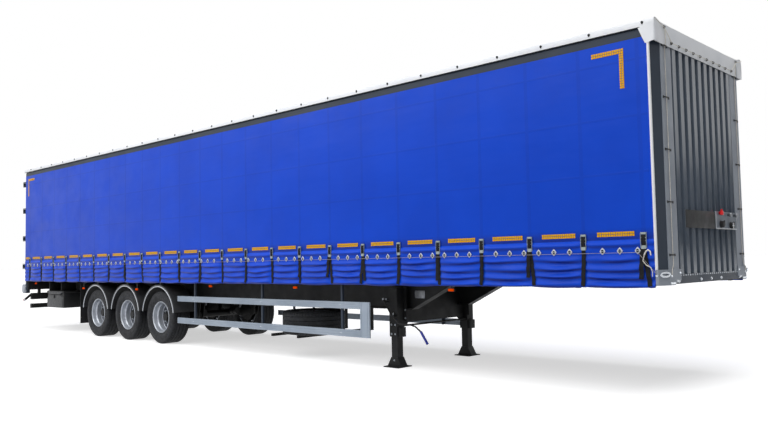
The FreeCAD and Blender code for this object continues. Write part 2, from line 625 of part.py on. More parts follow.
# a trailing arm's side view: distance ahead of the axle, height above the road
TRAILING_ARM = ((560, "500"), (560, "580"), (90, "600"), (-120, "560"), (-250, "spring_seat"),
                (-520, "spring_seat"), (-520, "460"), (-240, "455"), (-90, "430"), (90, "430"))


def axles():
    """Each axle tube with its spindles and two trailing arms."""
    units = []
    for k in range(AXLES):
        x = f"axle_front - {k} * axle_pitch"
        tube = rod(f"axle_tube_{k}", "axle_radius", "y", (x, "-axle_half", "hub_z"), "2 * axle_half")
        spindle = rod(f"axle_spindle_{k}", "spindle_radius", "y", (x, "-spindle_half", "hub_z"),
                      "2 * spindle_half")
        side_view = [(f"{x} + {ahead}", height) for ahead, height in TRAILING_ARM]
        arm = prism(f"trailing_arm_{k}", "y", side_view, "beam_y - arm_half", "beam_y + arm_half")
        units.append(fused(f"axle_unit_{k}", tube, spindle, arm, mirrored(f"trailing_arm_right_{k}", arm)))
    node("axles", *units)


def brake_chambers():
    """Two spring brake cylinders on each axle, on saddles that fit round the tube."""
    units = []
    for k in range(AXLES):
        x = f"axle_front - {k} * axle_pitch"
        spot = ("chamber_y", "chamber_z")
        drum = rod(f"chamber_drum_{k}", "chamber_radius", "x", (f"{x} + saddle_front - 2", *spot),
                   "chamber_joint - saddle_front + 4")
        band = rod(f"chamber_band_{k}", "chamber_band", "x", (f"{x} + chamber_joint", *spot), "12")
        spring = rod(f"chamber_spring_{k}", "chamber_radius - 6", "x", (f"{x} + chamber_joint + 10", *spot),
                     "chamber_long - chamber_joint - 10")
        foot = block(f"chamber_foot_{k}", (f"{x} + 30", f"{x} + saddle_front"),
                     ("chamber_y - saddle_half", "chamber_y + saddle_half"), ("hub_z - 20", "chamber_z + 30"))
        bore = rod(f"chamber_bore_{k}", "axle_radius", "y", (x, "chamber_y - saddle_half - 5", "hub_z"),
                   "2 * saddle_half + 10")
        units.append(fused(f"chamber_{k}", less(f"chamber_saddle_{k}", foot, bore), drum, band, spring))
    both_sides("brake_chambers", *units)


def hangers():
    """Tapered brackets under the beams; each trailing arm hinges between the two cheeks of its bracket."""
    pieces = []
    for k in range(AXLES):
        x = f"axle_front - {k} * axle_pitch + hanger_ahead"
        shape = [(f"{x} - 90", "beam_low"), (f"{x} - 40", "470"), (f"{x} + 50", "460"), (f"{x} + 90", "520"),
                 (f"{x} + 150", "beam_low")]
        for n, low in enumerate(("beam_y - arm_half - cheek_thick", "beam_y + arm_half")):
            pieces.append(prism(f"hanger_cheek_{k}_{n}", "y", shape, low, f"{low} + cheek_thick"))
    both_sides("hangers", *pieces)


def air_springs():
    """Rubber bellows between the tail of each trailing arm and the beam."""
    top = "beam_low - spring_seat"
    bellows = [("0", "0"), ("90", "0"), ("90", "60"), ("122", "84"), ("134", "140"), ("134", "220"),
               ("122", "270"), ("110", top), ("0", top)]
    springs = []
    for k in range(AXLES):
        spot = (f"axle_front - {k} * axle_pitch - spring_back", "beam_y", "spring_seat")
        springs.append(turned(f"air_spring_{k}", bellows, spot, ((1, 0, 0), 90)))
    both_sides("air_springs", *springs)


def mudguards():
    """An arched guard over each wheel, with a turned-down outer lip and a block up to its cross member."""
    section = [("guard_radius - guard_skin", "guard_inner"), ("guard_radius", "guard_inner"),
               ("guard_radius", "guard_outer"), ("guard_radius - guard_lip", "guard_outer"),
               ("guard_radius - guard_lip", "guard_outer - guard_skin"),
               ("guard_radius - guard_skin", "guard_outer - guard_skin")]
    pieces = []
    for k in range(AXLES):
        x = f"axle_front - {k} * axle_pitch"
        arch = turned(f"mud_arch_{k}", section, (x, "0", "guard_z"), ((0, 1, 0), -90), "guard_turn")
        stay = block(f"mud_stay_{k}", (f"{x} - 25", f"{x} + 25"), ("guard_inner + 20", "guard_outer - 60"),
                     ("guard_z + guard_radius - 3", "cross_low"))
        pieces.append(fused(f"mudguard_{k}", arch, stay))
    both_sides("mudguards", *pieces)


def mudflaps():
    """Rubber flaps behind the rear wheels, on a bracket from the cross member above."""
    flap = block("flap_sheet", ("flap_x", "flap_x + flap_thick"), ("flap_inner", "flap_outer"),
                 ("flap_foot", "cross_low - flap_hang + 4"))
    bracket = block("flap_bracket", ("flap_x", "flap_x + 140"), ("flap_inner + 70", "flap_outer - 75"),
                    ("cross_low - flap_hang", "cross_low"))
    both_sides("mudflaps", fused("mudflap", flap, bracket))


def spare_wheel():
    """The spare, flat in a cradle under the frame."""
    tyre, barrel = wheel_profiles()
    spot = ("spare_x", "spare_y", "spare_low + tyre_half")
    open_disc = [("141", "disc_in"), ("141", "disc_in - 16")]
    node("spare_tyre", turned("spare_tyre_body", tyre, spot, ((1, 0, 0), 90)))
    node("spare_rim", turned("spare_rim_body", barrel + open_disc, spot, ((1, 0, 0), 90)))
    bars = []
    deep = "spare_low - cradle_thick"
    places = [f"axle_front + {k} * cross_pitch" for k in (5, 6)]
    for k, x in enumerate(places):
        wide = (f"{x} - cradle_half", f"{x} + cradle_half")
        base = block(f"cradle_base_{k}", wide, ("cradle_out", "beam_y + 30"), (deep, "spare_low"))
        inner = block(f"cradle_inner_{k}", wide, ("beam_y - 10", "beam_y + 30"), (deep, "beam_low"))
        bars += [base, inner]
    link = block("cradle_link", places, ("spare_y - cradle_link", "spare_y + cradle_link"),
                 (deep, "spare_low"))
    post = rod("cradle_post", "cradle_rod", "z", ("spare_x", "spare_y", deep), f"beam_low - ({deep})")
    node("spare_carrier", fused("cradle", *bars, link, post))


def air_tanks():
    """Two brake air reservoirs between the beams, hung from the cross members."""
    tanks = []
    for k, y in enumerate(("-tank_y", "tank_y")):
        tank = rod(f"tank_shell_{k}", "tank_radius", "x",
                   ("axle_front + cross_pitch - tank_over", y, "tank_z"), "cross_pitch + 2 * tank_over")
        hangs = []
        for n in (1, 2):
            x = f"axle_front + {n} * cross_pitch"
            hangs.append(block(f"tank_hang_{k}_{n}", (f"{x} - 20", f"{x} + 20"), (f"{y} - 60", f"{y} + 60"),
                               ("tank_z + 90", "cross_low")))
        tanks.append(fused(f"air_tank_{k}", tank, *hangs))
    node("air_tanks", *tanks)


UPRIGHTS = (-570, 1440, 3365)
# place along the trailer and height of each side marker lamp
MARKERS = ((-7577, 1128), (-4964, 1035), (-2588, 1040), (43, 1128), (2379, 1128), (5483, 1128))


def side_guards():
    """Two aluminium rails a side, joined by a front post, on dark uprights from the side rail."""
    out = ("side_out - side_thick", "side_out")
    rails = [block(f"guard_rail_{k}", ("guard_rear", "guard_front"), out, span)
             for k, span in enumerate((("upper_low", "upper_high"), ("lower_low", "lower_high")))]
    post = block("guard_front_post", ("guard_front - guard_post", "guard_front"), out,
                 ("lower_low", "upper_high"))
    both_sides("side_guards", fused("side_guard", *rails, post))
    uprights = []
    deep = ("side_out - side_thick - upright_deep", "side_out - side_thick")
    for k, x in enumerate(UPRIGHTS):
        wide = (f"{x} - upright_half", f"{x} + upright_half")
        stem = block(f"upright_stem_{k}", wide, deep, ("lower_low", "rail_low + upright_high"))
        head = block(f"upright_head_{k}", wide, (deep[0], "rail_side - rail_wall"),
                     ("rail_low", "rail_low + upright_high"))
        uprights.append(fused(f"upright_{k}", stem, head))
    both_sides("guard_uprights", *uprights)


def tool_box():
    """A moulded box behind the right-hand wheels: a lidded shell with a raised panel, on two hangers."""
    shell = block("tool_shell", ("box_rear", "box_front"), ("box_out", "box_in"), ("box_low", "box_high"))
    lid = block("tool_lid", ("box_rear - lid_over", "box_front + lid_over"), ("box_out - 10", "box_in + 10"),
                ("lid_low", "box_high + 8"))
    outline = [("box_rear + 60", "box_low + 40"), ("box_front - 60", "box_low + 40"),
               ("box_front - 130", "lid_low - 45"), ("box_rear + 130", "lid_low - 45")]
    panel = prism("tool_panel", "y", outline, "box_out - 12", "box_out + 10")
    hangs = []
    for k in (-8, -7):
        x = f"axle_front + ({k}) * cross_pitch"
        hangs.append(block(f"tool_hang_{-k}", (f"{x} - 15", f"{x} + 15"), ("box_out + 50", "box_in - 45"),
                           ("box_high - 15", "cross_low")))
    node("tool_box", fused("tool_box_whole", shell, lid, panel, *hangs))


def side_lamps():
    """Marker lamps hung under the side rails."""
    lamps = []
    for k, (x, z) in enumerate(MARKERS):
        head = block(f"marker_head_{k}", (f"{x} - 50", f"{x} + 50"), ("rail_side - 28", "rail_side"),
                     (f"{z} - 20", f"{z} + 20"))
        stem = block(f"marker_stem_{k}", (f"{x} - 15", f"{x} + 15"), ("rail_side - rail_wall", "rail_side"),
                     (f"{z} + 20", "rail_low"))
        lamps.append(fused(f"marker_{k}", head, stem))
    both_sides("side_lamps", *lamps)


# ---------------------------------------------------------------------------------------------- landing gear

def landing_legs():
    """Square outer legs on shaped plates, a cross brace, and inner tubes with flared shoes."""
    x = ("leg_x - leg_half", "leg_x + leg_half")
    side = "beam_y + flange_half"
    case = block("leg_case", x, ("leg_y - leg_half", "leg_y + leg_half"), ("leg_foot", "leg_top"))
    gearbox = block("leg_gearbox", ("leg_x + leg_half - 2", "leg_x + leg_half + gearbox_deep"),
                    ("leg_y - tube_half", "leg_y + tube_half"), ("gearbox_low", "gearbox_high"))
    outline = [("leg_x - 310", "leg_plate_high"), ("leg_x - 310", "leg_plate_low + 190"),
               ("leg_x - leg_half", "leg_plate_low"), ("leg_x + 125", "leg_plate_low - 50"),
               ("leg_x + 125", "leg_plate_high")]
    plate = prism("leg_plate", "y", outline, side, "leg_y - leg_half + 2")
    end = "leg_y - leg_half"
    half_brace = [(end, "beam_low"), (end, "brace_low - 70"), (f"{end} - 60", "brace_low - 70"),
                  (f"{end} - 120", "brace_low - 40"), (f"{end} - 165", "brace_low")]
    other_half = [(f"-({y})", z) for y, z in reversed(half_brace)]
    brace = prism("leg_brace", "x", half_brace + other_half, "leg_x - brace_half", "leg_x + brace_half")
    left = fused("leg_left", case, plate, gearbox)
    node("landing_legs", fused("legs_whole", left, mirrored("leg_right", left), brace))
    tube = block("foot_tube", ("leg_x - tube_half", "leg_x + tube_half"),
                 ("leg_y - tube_half", "leg_y + tube_half"), ("shoe_thick", "leg_foot"))
    base = block("foot_base", ("leg_x - shoe_half", "leg_x + shoe_half"),
                 ("leg_y - shoe_half", "leg_y + shoe_half"), ("0", "shoe_thick"))
    slope = [("leg_x - shoe_half + 12", "shoe_thick"), ("leg_x + shoe_half - 12", "shoe_thick"),
             ("leg_x + tube_half + 4", "shoe_top"), ("leg_x - tube_half - 4", "shoe_top")]
    flare = prism("foot_flare", "y", slope, "leg_y - tube_half - 10", "leg_y + tube_half + 10")
    both_sides("landing_feet", fused("landing_foot", tube, base, flare))


def bent_rod(name, radius, points):
    """A round rod through the points, with a ball at each bend."""
    pieces = []
    spots = [FreeCAD.Vector(*point) for point in points]
    for k, (here, there) in enumerate(zip(spots, spots[1:])):
        run = doc.addObject("Part::Cylinder", f"{name}_run_{k}")
        run.Radius = radius
        run.Height = (there - here).Length
        run.Placement = FreeCAD.Placement(here, FreeCAD.Rotation(FreeCAD.Vector(0, 0, 1), there - here))
        pieces.append(run)
    for k, spot in enumerate(spots[1:-1]):
        ball = doc.addObject("Part::Sphere", f"{name}_ball_{k}")
        ball.Radius = radius
        ball.Placement = FreeCAD.Placement(spot, FreeCAD.Rotation())
        pieces.append(ball)
    return pieces


# the crank's bends, from its hook on the chassis to its grip: place along the trailer, height
CRANK_ROUTE = ((4002, 958), (4141, 753), (4298, 628), (4503, 622), (4600, 600), (4700, 535), (4816, 375))
CRANK_SIDE = -950


def landing_crank():
    """The cross shaft between the gearboxes, and the crank folded along the right leg."""
    shaft = rod("cross_shaft", "14", "y", ("leg_x + 40", "-(leg_y - leg_half)", "shaft_z"),
                "2 * (leg_y - leg_half)")
    hub = rod("crank_hub", "26", "y", ("leg_x + 50", "-leg_y - leg_half - 70", "crank_z"), "70")
    route = [(x, CRANK_SIDE, z) for x, z in CRANK_ROUTE]
    arm = fused("crank_arm", hub, *bent_rod("crank", value("crank_radius"), route))
    node("landing_crank", shaft, arm)


BUILDERS = (main_beams, cross_members, side_rails, floor, coupler_plate, front_frame, front_wall,
            front_strips, corner_plates, cant_rails, roof_bows, roof_cover, curtains, curtain_straps,
            side_posts, service_panel, rear_frame, rear_underside, wheels, axles, brake_chambers, hangers,
            air_springs, mudguards, mudflaps, spare_wheel, air_tanks, side_guards, tool_box, side_lamps,
            landing_legs, landing_crank)
for build in BUILDERS:
    build()
door(1, "door_left")
door(-1, "door_right")
doc.recompute()

broken = [item.Name for item in doc.Objects if {"Invalid", "Error"} & set(item.State)]
bad = [piece.Label for piece in nodes if piece.Shape.isNull() or not piece.Shape.isValid()]
if broken or bad:
    raise SystemExit(f"not written: failed {broken}, bad shapes {bad}")
os.makedirs("parts", exist_ok=True)
for piece in nodes:
    piece.Shape.exportStep(f"parts/{piece.Label}.step")
    box = piece.Shape.BoundBox
    print(f"{piece.Label:20s} solids {len(piece.Shape.Solids):3d}  x {box.XMin:8.1f} {box.XMax:8.1f}  "
          f"y {box.YMin:8.1f} {box.YMax:8.1f}  z {box.ZMin:7.1f} {box.ZMax:7.1f}")
print("nodes", len(nodes))
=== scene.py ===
# %% [markdown]
# # A curtain-side semi trailer
# A curtain-sider is a steel chassis with a soft body: two long tarpaulin curtains hang from the roof rails and
# are pulled tight by straps and buckles along the bottom. The steel comes ready-made as the frame; these cells
# dress it. Everything is in metres, +X towards the kingpin, +Z up, with the origin on the ground.

# %% Load the frame
import bpy
import bmesh
import math
import random
from mathutils import Matrix, Vector


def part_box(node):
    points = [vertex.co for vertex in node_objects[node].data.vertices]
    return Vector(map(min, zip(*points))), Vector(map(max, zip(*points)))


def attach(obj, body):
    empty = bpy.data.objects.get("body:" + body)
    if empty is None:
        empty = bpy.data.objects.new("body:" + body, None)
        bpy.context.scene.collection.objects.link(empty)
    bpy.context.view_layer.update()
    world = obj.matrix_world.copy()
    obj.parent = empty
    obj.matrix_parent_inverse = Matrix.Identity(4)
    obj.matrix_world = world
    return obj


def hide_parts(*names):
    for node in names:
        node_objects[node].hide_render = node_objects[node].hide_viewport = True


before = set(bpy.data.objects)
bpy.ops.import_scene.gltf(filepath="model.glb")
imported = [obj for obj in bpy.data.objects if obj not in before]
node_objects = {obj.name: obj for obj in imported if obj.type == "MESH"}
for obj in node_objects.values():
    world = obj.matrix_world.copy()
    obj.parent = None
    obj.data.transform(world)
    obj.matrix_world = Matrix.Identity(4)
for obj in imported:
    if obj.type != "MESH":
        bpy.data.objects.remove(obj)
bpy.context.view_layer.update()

# %% [markdown]
# ## Camera, floor and light
# The trailer is seen from low down, ahead of its front right corner, so the long side runs away to the left.
# The camera is turned by three angles: heading, pitch and a slight roll. A product picture of a vehicle has a
# white surround, so the world and the floor are white to the camera and to reflections. The light that falls on
# the body is quiet: a low sky, a wide soft sun overhead, and one long lamp on the side that is seen. The front
# wall is left in shade, which is what shows its ridges.


# %% Camera
def add_object(name, data):
    """A new object in the scene that holds the given data."""
    item = bpy.data.objects.new(name, data)
    bpy.context.scene.collection.objects.link(item)
    return item


CAMERA_SPOT = Vector((11.596, -8.859, 1.512))
CAMERA_HEADING = math.radians(133.683)
CAMERA_PITCH = math.radians(3.329)
CAMERA_ROLL = math.radians(-1.084)
CAMERA_LENS = 35.56

ahead = Vector((math.cos(CAMERA_PITCH) * math.cos(CAMERA_HEADING),
                math.cos(CAMERA_PITCH) * math.sin(CAMERA_HEADING), math.sin(CAMERA_PITCH)))
level = Vector((math.sin(CAMERA_HEADING), -math.cos(CAMERA_HEADING), 0))
above = level.cross(ahead)
right = level * math.cos(CAMERA_ROLL) + above * math.sin(CAMERA_ROLL)
up = above * math.cos(CAMERA_ROLL) - level * math.sin(CAMERA_ROLL)
camera_data = bpy.data.cameras.new("camera")
camera_data.lens = CAMERA_LENS
camera = add_object("camera", camera_data)
camera.matrix_world = Matrix.Translation(CAMERA_SPOT) @ Matrix((right, up, -ahead)).transposed().to_4x4()
bpy.context.scene.camera = camera
bpy.context.scene.view_settings.view_transform = "Standard"


# %% Colours and nodes
def hue(code):
    """An sRGB hex value as linear red, green, blue and alpha."""
    channels = [int(code[k:k + 2], 16) / 255 for k in (0, 2, 4)]
    return [c / 12.92 if c <= 0.04045 else ((c + 0.055) / 1.055) ** 2.4 for c in channels] + [1.0]


def add(tree, kind, inputs=None, **settings):
    """Adds one node. Each input is a number, a colour or another node's output."""
    node = tree.nodes.new(kind)
    for key, setting in settings.items():
        setattr(node, key, setting)
    for key, source in (inputs or {}).items():
        if isinstance(source, bpy.types.NodeSocket):
            tree.links.new(source, node.inputs[key])
        else:
            node.inputs[key].default_value = source
    return node


def shown_to_lens(tree):
    """1 for rays that the camera, a reflection or a clear lens sees, 0 for rays that light the object."""
    path = add(tree, "ShaderNodeLightPath")
    seen = add(tree, "ShaderNodeMath", {0: path.outputs["Is Camera Ray"], 1: path.outputs["Is Glossy Ray"]},
               operation="MAXIMUM")
    return add(tree, "ShaderNodeMath", {0: seen.outputs[0], 1: path.outputs["Is Transmission Ray"]},
               operation="MAXIMUM").outputs[0]


# %% World, floor and sun
SKY_LEVEL = 0.22          # what the open sky adds to a surface that faces it
SUN_LEVEL = 1.73
TREE_TOP = 0.14           # how high the trees stand in a reflection, as the sine of their elevation
SUN_SOFTNESS = math.radians(50)
SUN_FROM = Vector((0.14, -0.22, 0.96))
FLOOR_SHADE = "BCBCBC"    # the floor's own colour, half reflecting
FLOOR_GLOW = 0.57         # lifts the pale floor to white where no shadow falls
FLOOR_SEEN = "E2E2E2"     # the floor's colour as the lens sees it: paler, so that its shadows stay deep
SIDE_LAMP_SPOT = Vector((-1.0, -9.5, 8.6))
SIDE_LAMP_AIM = Vector((-1.0, -1.3, 2.2))
SIDE_LAMP_SIZE = (24.0, 6.0)
SIDE_LAMP_POWER = 940.0

world = bpy.data.worlds.new("studio")
world.use_nodes = True
bpy.context.scene.world = world
sky = world.node_tree
sky.nodes.clear()
soft_light = add(sky, "ShaderNodeBackground", {"Color": hue("F4F7FF"), "Strength": SKY_LEVEL})
# reflections see a dark row of trees low down, ahead and beyond the trailer: the glossy front shows it
path = add(sky, "ShaderNodeLightPath")
way = add(sky, "ShaderNodeSeparateXYZ", {0: add(sky, "ShaderNodeTexCoord").outputs["Generated"]})
beyond = add(sky, "ShaderNodeMapRange", {"Value": way.outputs[1], "From Min": 0.45, "From Max": 0.60})
low_down = add(sky, "ShaderNodeMapRange", {"Value": way.outputs[2], "From Min": TREE_TOP,
                                              "From Max": TREE_TOP - 0.05})
ahead_of_it = add(sky, "ShaderNodeMapRange", {"Value": way.outputs[0], "From Min": 0.0, "From Max": 0.10})
trees = path.outputs["Is Glossy Ray"]
for mask in (beyond, low_down, ahead_of_it):
    trees = add(sky, "ShaderNodeMath", {0: trees, 1: mask.outputs[0]}, operation="MULTIPLY").outputs[0]
surround = add(sky, "ShaderNodeMix", {0: trees, 6: hue("FFFFFF"), 7: hue("15181C")}, data_type="RGBA")
white_surround = add(sky, "ShaderNodeBackground", {"Color": surround.outputs[2], "Strength": 1.0})
blend = add(sky, "ShaderNodeMixShader", {0: shown_to_lens(sky), 1: soft_light.outputs[0],
                                         2: white_surround.outputs[0]})
add(sky, "ShaderNodeOutputWorld", {0: blend.outputs[0]})

floor_paint = bpy.data.materials.new("pale_floor")
floor_paint.use_nodes = True
ground = floor_paint.node_tree
ground.nodes.clear()
matt = add(ground, "ShaderNodeBsdfDiffuse", {"Color": hue(FLOOR_SHADE)})
glow = add(ground, "ShaderNodeEmission", {"Color": hue("FFFFFF"), "Strength": FLOOR_GLOW})
paler = add(ground, "ShaderNodeBsdfDiffuse", {"Color": hue(FLOOR_SEEN)})
lit = add(ground, "ShaderNodeAddShader", {0: paler.outputs[0], 1: glow.outputs[0]})
seen_floor = add(ground, "ShaderNodeMixShader",
                 {0: shown_to_lens(ground), 1: matt.outputs[0], 2: lit.outputs[0]})
add(ground, "ShaderNodeOutputMaterial", {0: seen_floor.outputs[0]})

FLOOR_REACH = 400.0
floor_mesh = bpy.data.meshes.new("studio_floor")
floor_corners = [(x * FLOOR_REACH, y * FLOOR_REACH, 0.0) for x, y in ((-1, -1), (1, -1), (1, 1), (-1, 1))]
floor_mesh.from_pydata(floor_corners, [], [(0, 1, 2, 3)])
floor_mesh.materials.append(floor_paint)
studio_floor = add_object("studio_floor", floor_mesh)

sun_data = bpy.data.lights.new("sun", "SUN")
sun_data.energy = SUN_LEVEL
sun_data.angle = SUN_SOFTNESS
sun = add_object("sun", sun_data)
sun.rotation_euler = SUN_FROM.to_track_quat("Z", "Y").to_euler()

# a long soft lamp, high beside the road, lights the near curtain from above; it isn't seen itself
lamp_data = bpy.data.lights.new("side_lamp", "AREA")
lamp_data.shape = "RECTANGLE"
lamp_data.size, lamp_data.size_y = SIDE_LAMP_SIZE
lamp_data.energy = SIDE_LAMP_POWER
side_lamp = add_object("side_lamp", lamp_data)
side_lamp.location = SIDE_LAMP_SPOT
side_lamp.rotation_euler = (SIDE_LAMP_AIM - SIDE_LAMP_SPOT).to_track_quat("-Z", "Y").to_euler()
side_lamp.visible_camera = False

# %% [markdown]
# ## Finishes
# Most of a trailer is painted steel, galvanised steel, aluminium, rubber and moulded plastic. Each of those has
# the same build here: two near colours mixed in soft patches, a roughness that wanders between two values, and
# a fine bump at the size of the real surface's grain. Every size is given in millimetres, and a grain too fine
# to show is drawn a little coarser. The special surfaces (tarpaulin, tape, plywood) get nodes of their own.


# %% The common finish
def start_material(name):
    """A new material, its nodes and its shader."""
    material = bpy.data.materials.new(name)
    material.use_nodes = True
    tree = material.node_tree
    return material, tree, tree.nodes["Principled BSDF"]


def patches(tree, size_mm, detail=3.0, stretch=None):
    """Soft noise whose patches are about size_mm across, from 0 to 1."""
    place = add(tree, "ShaderNodeTexCoord").outputs["Object"]
    if stretch:
        place = add(tree, "ShaderNodeMapping", {"Vector": place, "Scale": stretch}).outputs[0]
    return add(tree, "ShaderNodeTexNoise",
               {"Vector": place, "Scale": 1000 / size_mm, "Detail": detail}).outputs[0]


def spread(tree, source, low, high, floor=0.35, ceiling=0.65):
    """Stretches the middle of a 0 to 1 pattern to run from low to high."""
    return add(tree, "ShaderNodeMapRange", {"Value": source, "From Min": floor, "From Max": ceiling,
                                            "To Min": low, "To Max": high}).outputs[0]


def two_tone(tree, factor, first, second):
    """A mix of two hex colours."""
    return add(tree, "ShaderNodeMix", {0: factor, 6: hue(first), 7: hue(second)}, data_type="RGBA").outputs[2]


def raised(tree, height, depth_mm, shader, after=None):
    """Bump of a given depth on the shader's normal."""
    inputs = {"Height": height, "Distance": depth_mm / 1000, "Strength": 1.0}
    if after is not None:
        inputs["Normal"] = after
    bump = add(tree, "ShaderNodeBump", inputs)
    tree.links.new(bump.outputs[0], shader.inputs["Normal"])
    return bump.outputs[0]


def finish(name, colours, patch_mm, rough, grain_mm, grain_depth_mm, metal=0.0, stretch=None, coat=0.0,
           gloss=0.5):
    """Two colours in patches, a wandering roughness and a fine grain."""
    material, tree, shader = start_material(name)
    cloud = patches(tree, patch_mm)
    tree.links.new(two_tone(tree, spread(tree, cloud, 0, 1), *colours), shader.inputs["Base Color"])
    tree.links.new(spread(tree, patches(tree, patch_mm * 0.4), *rough), shader.inputs["Roughness"])
    raised(tree, patches(tree, grain_mm, 2.0, stretch), grain_depth_mm, shader)
    shader.inputs["Metallic"].default_value = metal
    shader.inputs["Coat Weight"].default_value = coat
    shader.inputs["Coat Roughness"].default_value = 0.15
    shader.inputs["Specular IOR Level"].default_value = gloss
    return material


# %% Plain finishes
finishes = {
    # satin black chassis paint, sprayed: soft gloss with a faint orange peel and road dust on the flats
    "chassis_black": finish("satin_black_chassis_paint", ("0B0C0D", "121314"), 420,
                            (0.46, 0.62), 6, 0.10, gloss=0.25),
    # dark grey coil-coated steel: smooth, even, half gloss
    "frame_grey": finish("dark_grey_coated_steel", ("2F3844", "37404D"), 900,
                         (0.34, 0.46), 5, 0.06, gloss=0.2),
    # the pressed front wall, the same paint over a formed sheet
    "wall_grey": finish("dark_grey_pressed_wall", ("56606C", "606A77"), 700,
                        (0.14, 0.22), 5, 0.03, gloss=0.7),
    # the pale lacing strips beside the front wall, milled aluminium gone dull
    "strip_grey": finish("dull_aluminium_strip", ("8A919B", "979EA8"), 300, (0.38, 0.50), 3, 0.04),
    # hot-dip galvanised steel: pale grey, dull, with large soft patches
    "galvanised": finish("galvanised_steel", ("8F969D", "A7ADB3"), 45, (0.38, 0.58), 4, 0.08, metal=0.55),
    # mill-finish aluminium profile, drawn lengthwise so its grain runs along X
    "aluminium_profile": finish("drawn_aluminium_profile", ("8D99A6", "9CA7B3"), 500, (0.34, 0.46), 1.2, 0.03,
                                metal=0.35, stretch=(0.02, 1, 1)),
    # bright zinc-plated steel, as on buckles and bolts: sharp small reflections
    "bright_zinc": finish("bright_zinc_plating", ("C3C8CE", "D3D7DB"), 12, (0.18, 0.30), 2, 0.03, metal=0.85),
    # buckle steel: dull zinc, faintly green
    "buckle_zinc": finish("dull_zinc_buckle", ("8E9896", "A3ACAA"), 14, (0.36, 0.48), 2, 0.04, metal=0.4),
    # silver wheel paint: fine metal flake under a thin clear coat
    "wheel_steel": finish("silver_wheel_paint", ("A9AEB6", "BABFC6"), 160, (0.28, 0.40), 1.5, 0.03, metal=0.45,
                          coat=0.2),
    # the wheel's disc, set deep: the same silver paint, darkened as painted shade
    "wheel_disc": finish("silver_disc_paint_darkened_as_shade", ("42464D", "50555D"), 120,
                         (0.42, 0.56), 2, 0.05, metal=0.2),
    # moulded black polypropylene: matt, lightly grained
    "black_plastic": finish("grained_black_polypropylene", ("101112", "17181A"), 240,
                            (0.48, 0.62), 2.5, 0.12, gloss=0.3),
    # black rubber flaps and bellows: dull, dusty in the hollows
    "black_rubber": finish("dusty_black_rubber", ("141516", "1E1F21"), 130, (0.62, 0.78), 4, 0.15, gloss=0.3),
    # polyester webbing in black, woven flat
    "strap_black": finish("black_polyester_webbing", ("08080A", "101012"), 60,
                          (0.66, 0.78), 3, 0.25, gloss=0.2),
    # pale grey moulded buffer rubber
    "buffer_grey": finish("pale_grey_buffer_rubber", ("A9AFB8", "B9BEC6"), 120, (0.50, 0.62), 3, 0.10),
    # the connection panel, painted light grey
    "panel_grey": finish("light_grey_panel_paint", ("6B737D", "78808A"), 300, (0.36, 0.46), 4, 0.06),
    # turned and ground steel of the kingpin and couplings, with a film of grease
    "coupling_metal": finish("greased_machined_steel", ("74777B", "8B8E92"), 60,
                             (0.28, 0.44), 2, 0.05, metal=0.9),
    # blank identification plate and small pale fittings
    "pale_enamel": finish("pale_grey_enamel", ("C9CDD2", "D4D8DC"), 90, (0.30, 0.40), 3, 0.04),
    # the front pole's sleeve: white PVC, clean
    "white_sleeve": finish("white_pvc_sleeve", ("F6F7F9", "FCFCFD"), 200, (0.36, 0.46), 4, 0.05),
    # off-white braided polyester cord
    "pale_cord": finish("off_white_braided_cord", ("DDD7CA", "EAE6DD"), 20, (0.70, 0.80), 4, 0.30),
    # the lacing cord's long run, greyed by the road
    "worn_cord": finish("greyed_braided_cord", ("8F8889", "A39C9B"), 20, (0.70, 0.80), 4, 0.30),
    # red anodised coupling cap
    "red_cap": finish("red_anodised_cap", ("D0020F", "E00612"), 40, (0.25, 0.35), 2, 0.04, metal=0.3),
    # the tool box's front: black polypropylene gone grey in the sun
    "tool_grey": finish("weathered_grey_polypropylene", ("2E2F31", "38393B"), 150, (0.45, 0.60), 2.5, 0.12),
    # the rolled lip of a mudguard: the same plastic, paler as a painted highlight along its lit edge
    "lip_grey": finish("grey_polypropylene_painted_highlight", ("4C4F54", "5A5D62"), 120, (0.40, 0.52), 2.5, 0.08),
    # a data plate, blank: satin aluminium
    "plate_grey": finish("satin_blank_plate", ("85888C", "95989C"), 60, (0.35, 0.50), 2, 0.03, metal=0.3),
    # the crank's grip: blue moulded sleeve
    "blue_grip": finish("blue_moulded_grip", ("0C1F86", "10259A"), 50, (0.40, 0.52), 3, 0.10),
}
print("plain finishes", len(finishes))

# %% [markdown]
# ### Tarpaulin
# Curtain cloth is a polyester weave coated on both sides with soft PVC and lacquered. It is glossy at a low
# angle, shows its base weave only faintly, and has welded seams: three long ones where the widths of cloth
# overlap, and an upright webbing behind the cloth at each strap that presses through as a faint line.


# %% Tarpaulin
def band_mask(tree, distance, half_width, soft):
    """1 within half_width of a line, falling to 0 over soft; distance is a node output."""
    return add(tree, "ShaderNodeMapRange", {"Value": distance, "From Min": half_width + soft,
                                            "From Max": half_width, "To Min": 0.0, "To Max": 1.0}).outputs[0]


def away_from(tree, coordinate, spot):
    """Distance of a coordinate from a spot."""
    offset = add(tree, "ShaderNodeMath", {0: coordinate, 1: spot}, operation="SUBTRACT").outputs[0]
    return add(tree, "ShaderNodeMath", {0: offset}, operation="ABSOLUTE").outputs[0]


def larger(tree, *sources):
    """The largest of several outputs."""
    result = sources[0]
    for source in sources[1:]:
        result = add(tree, "ShaderNodeMath", {0: result, 1: source}, operation="MAXIMUM").outputs[0]
    return result


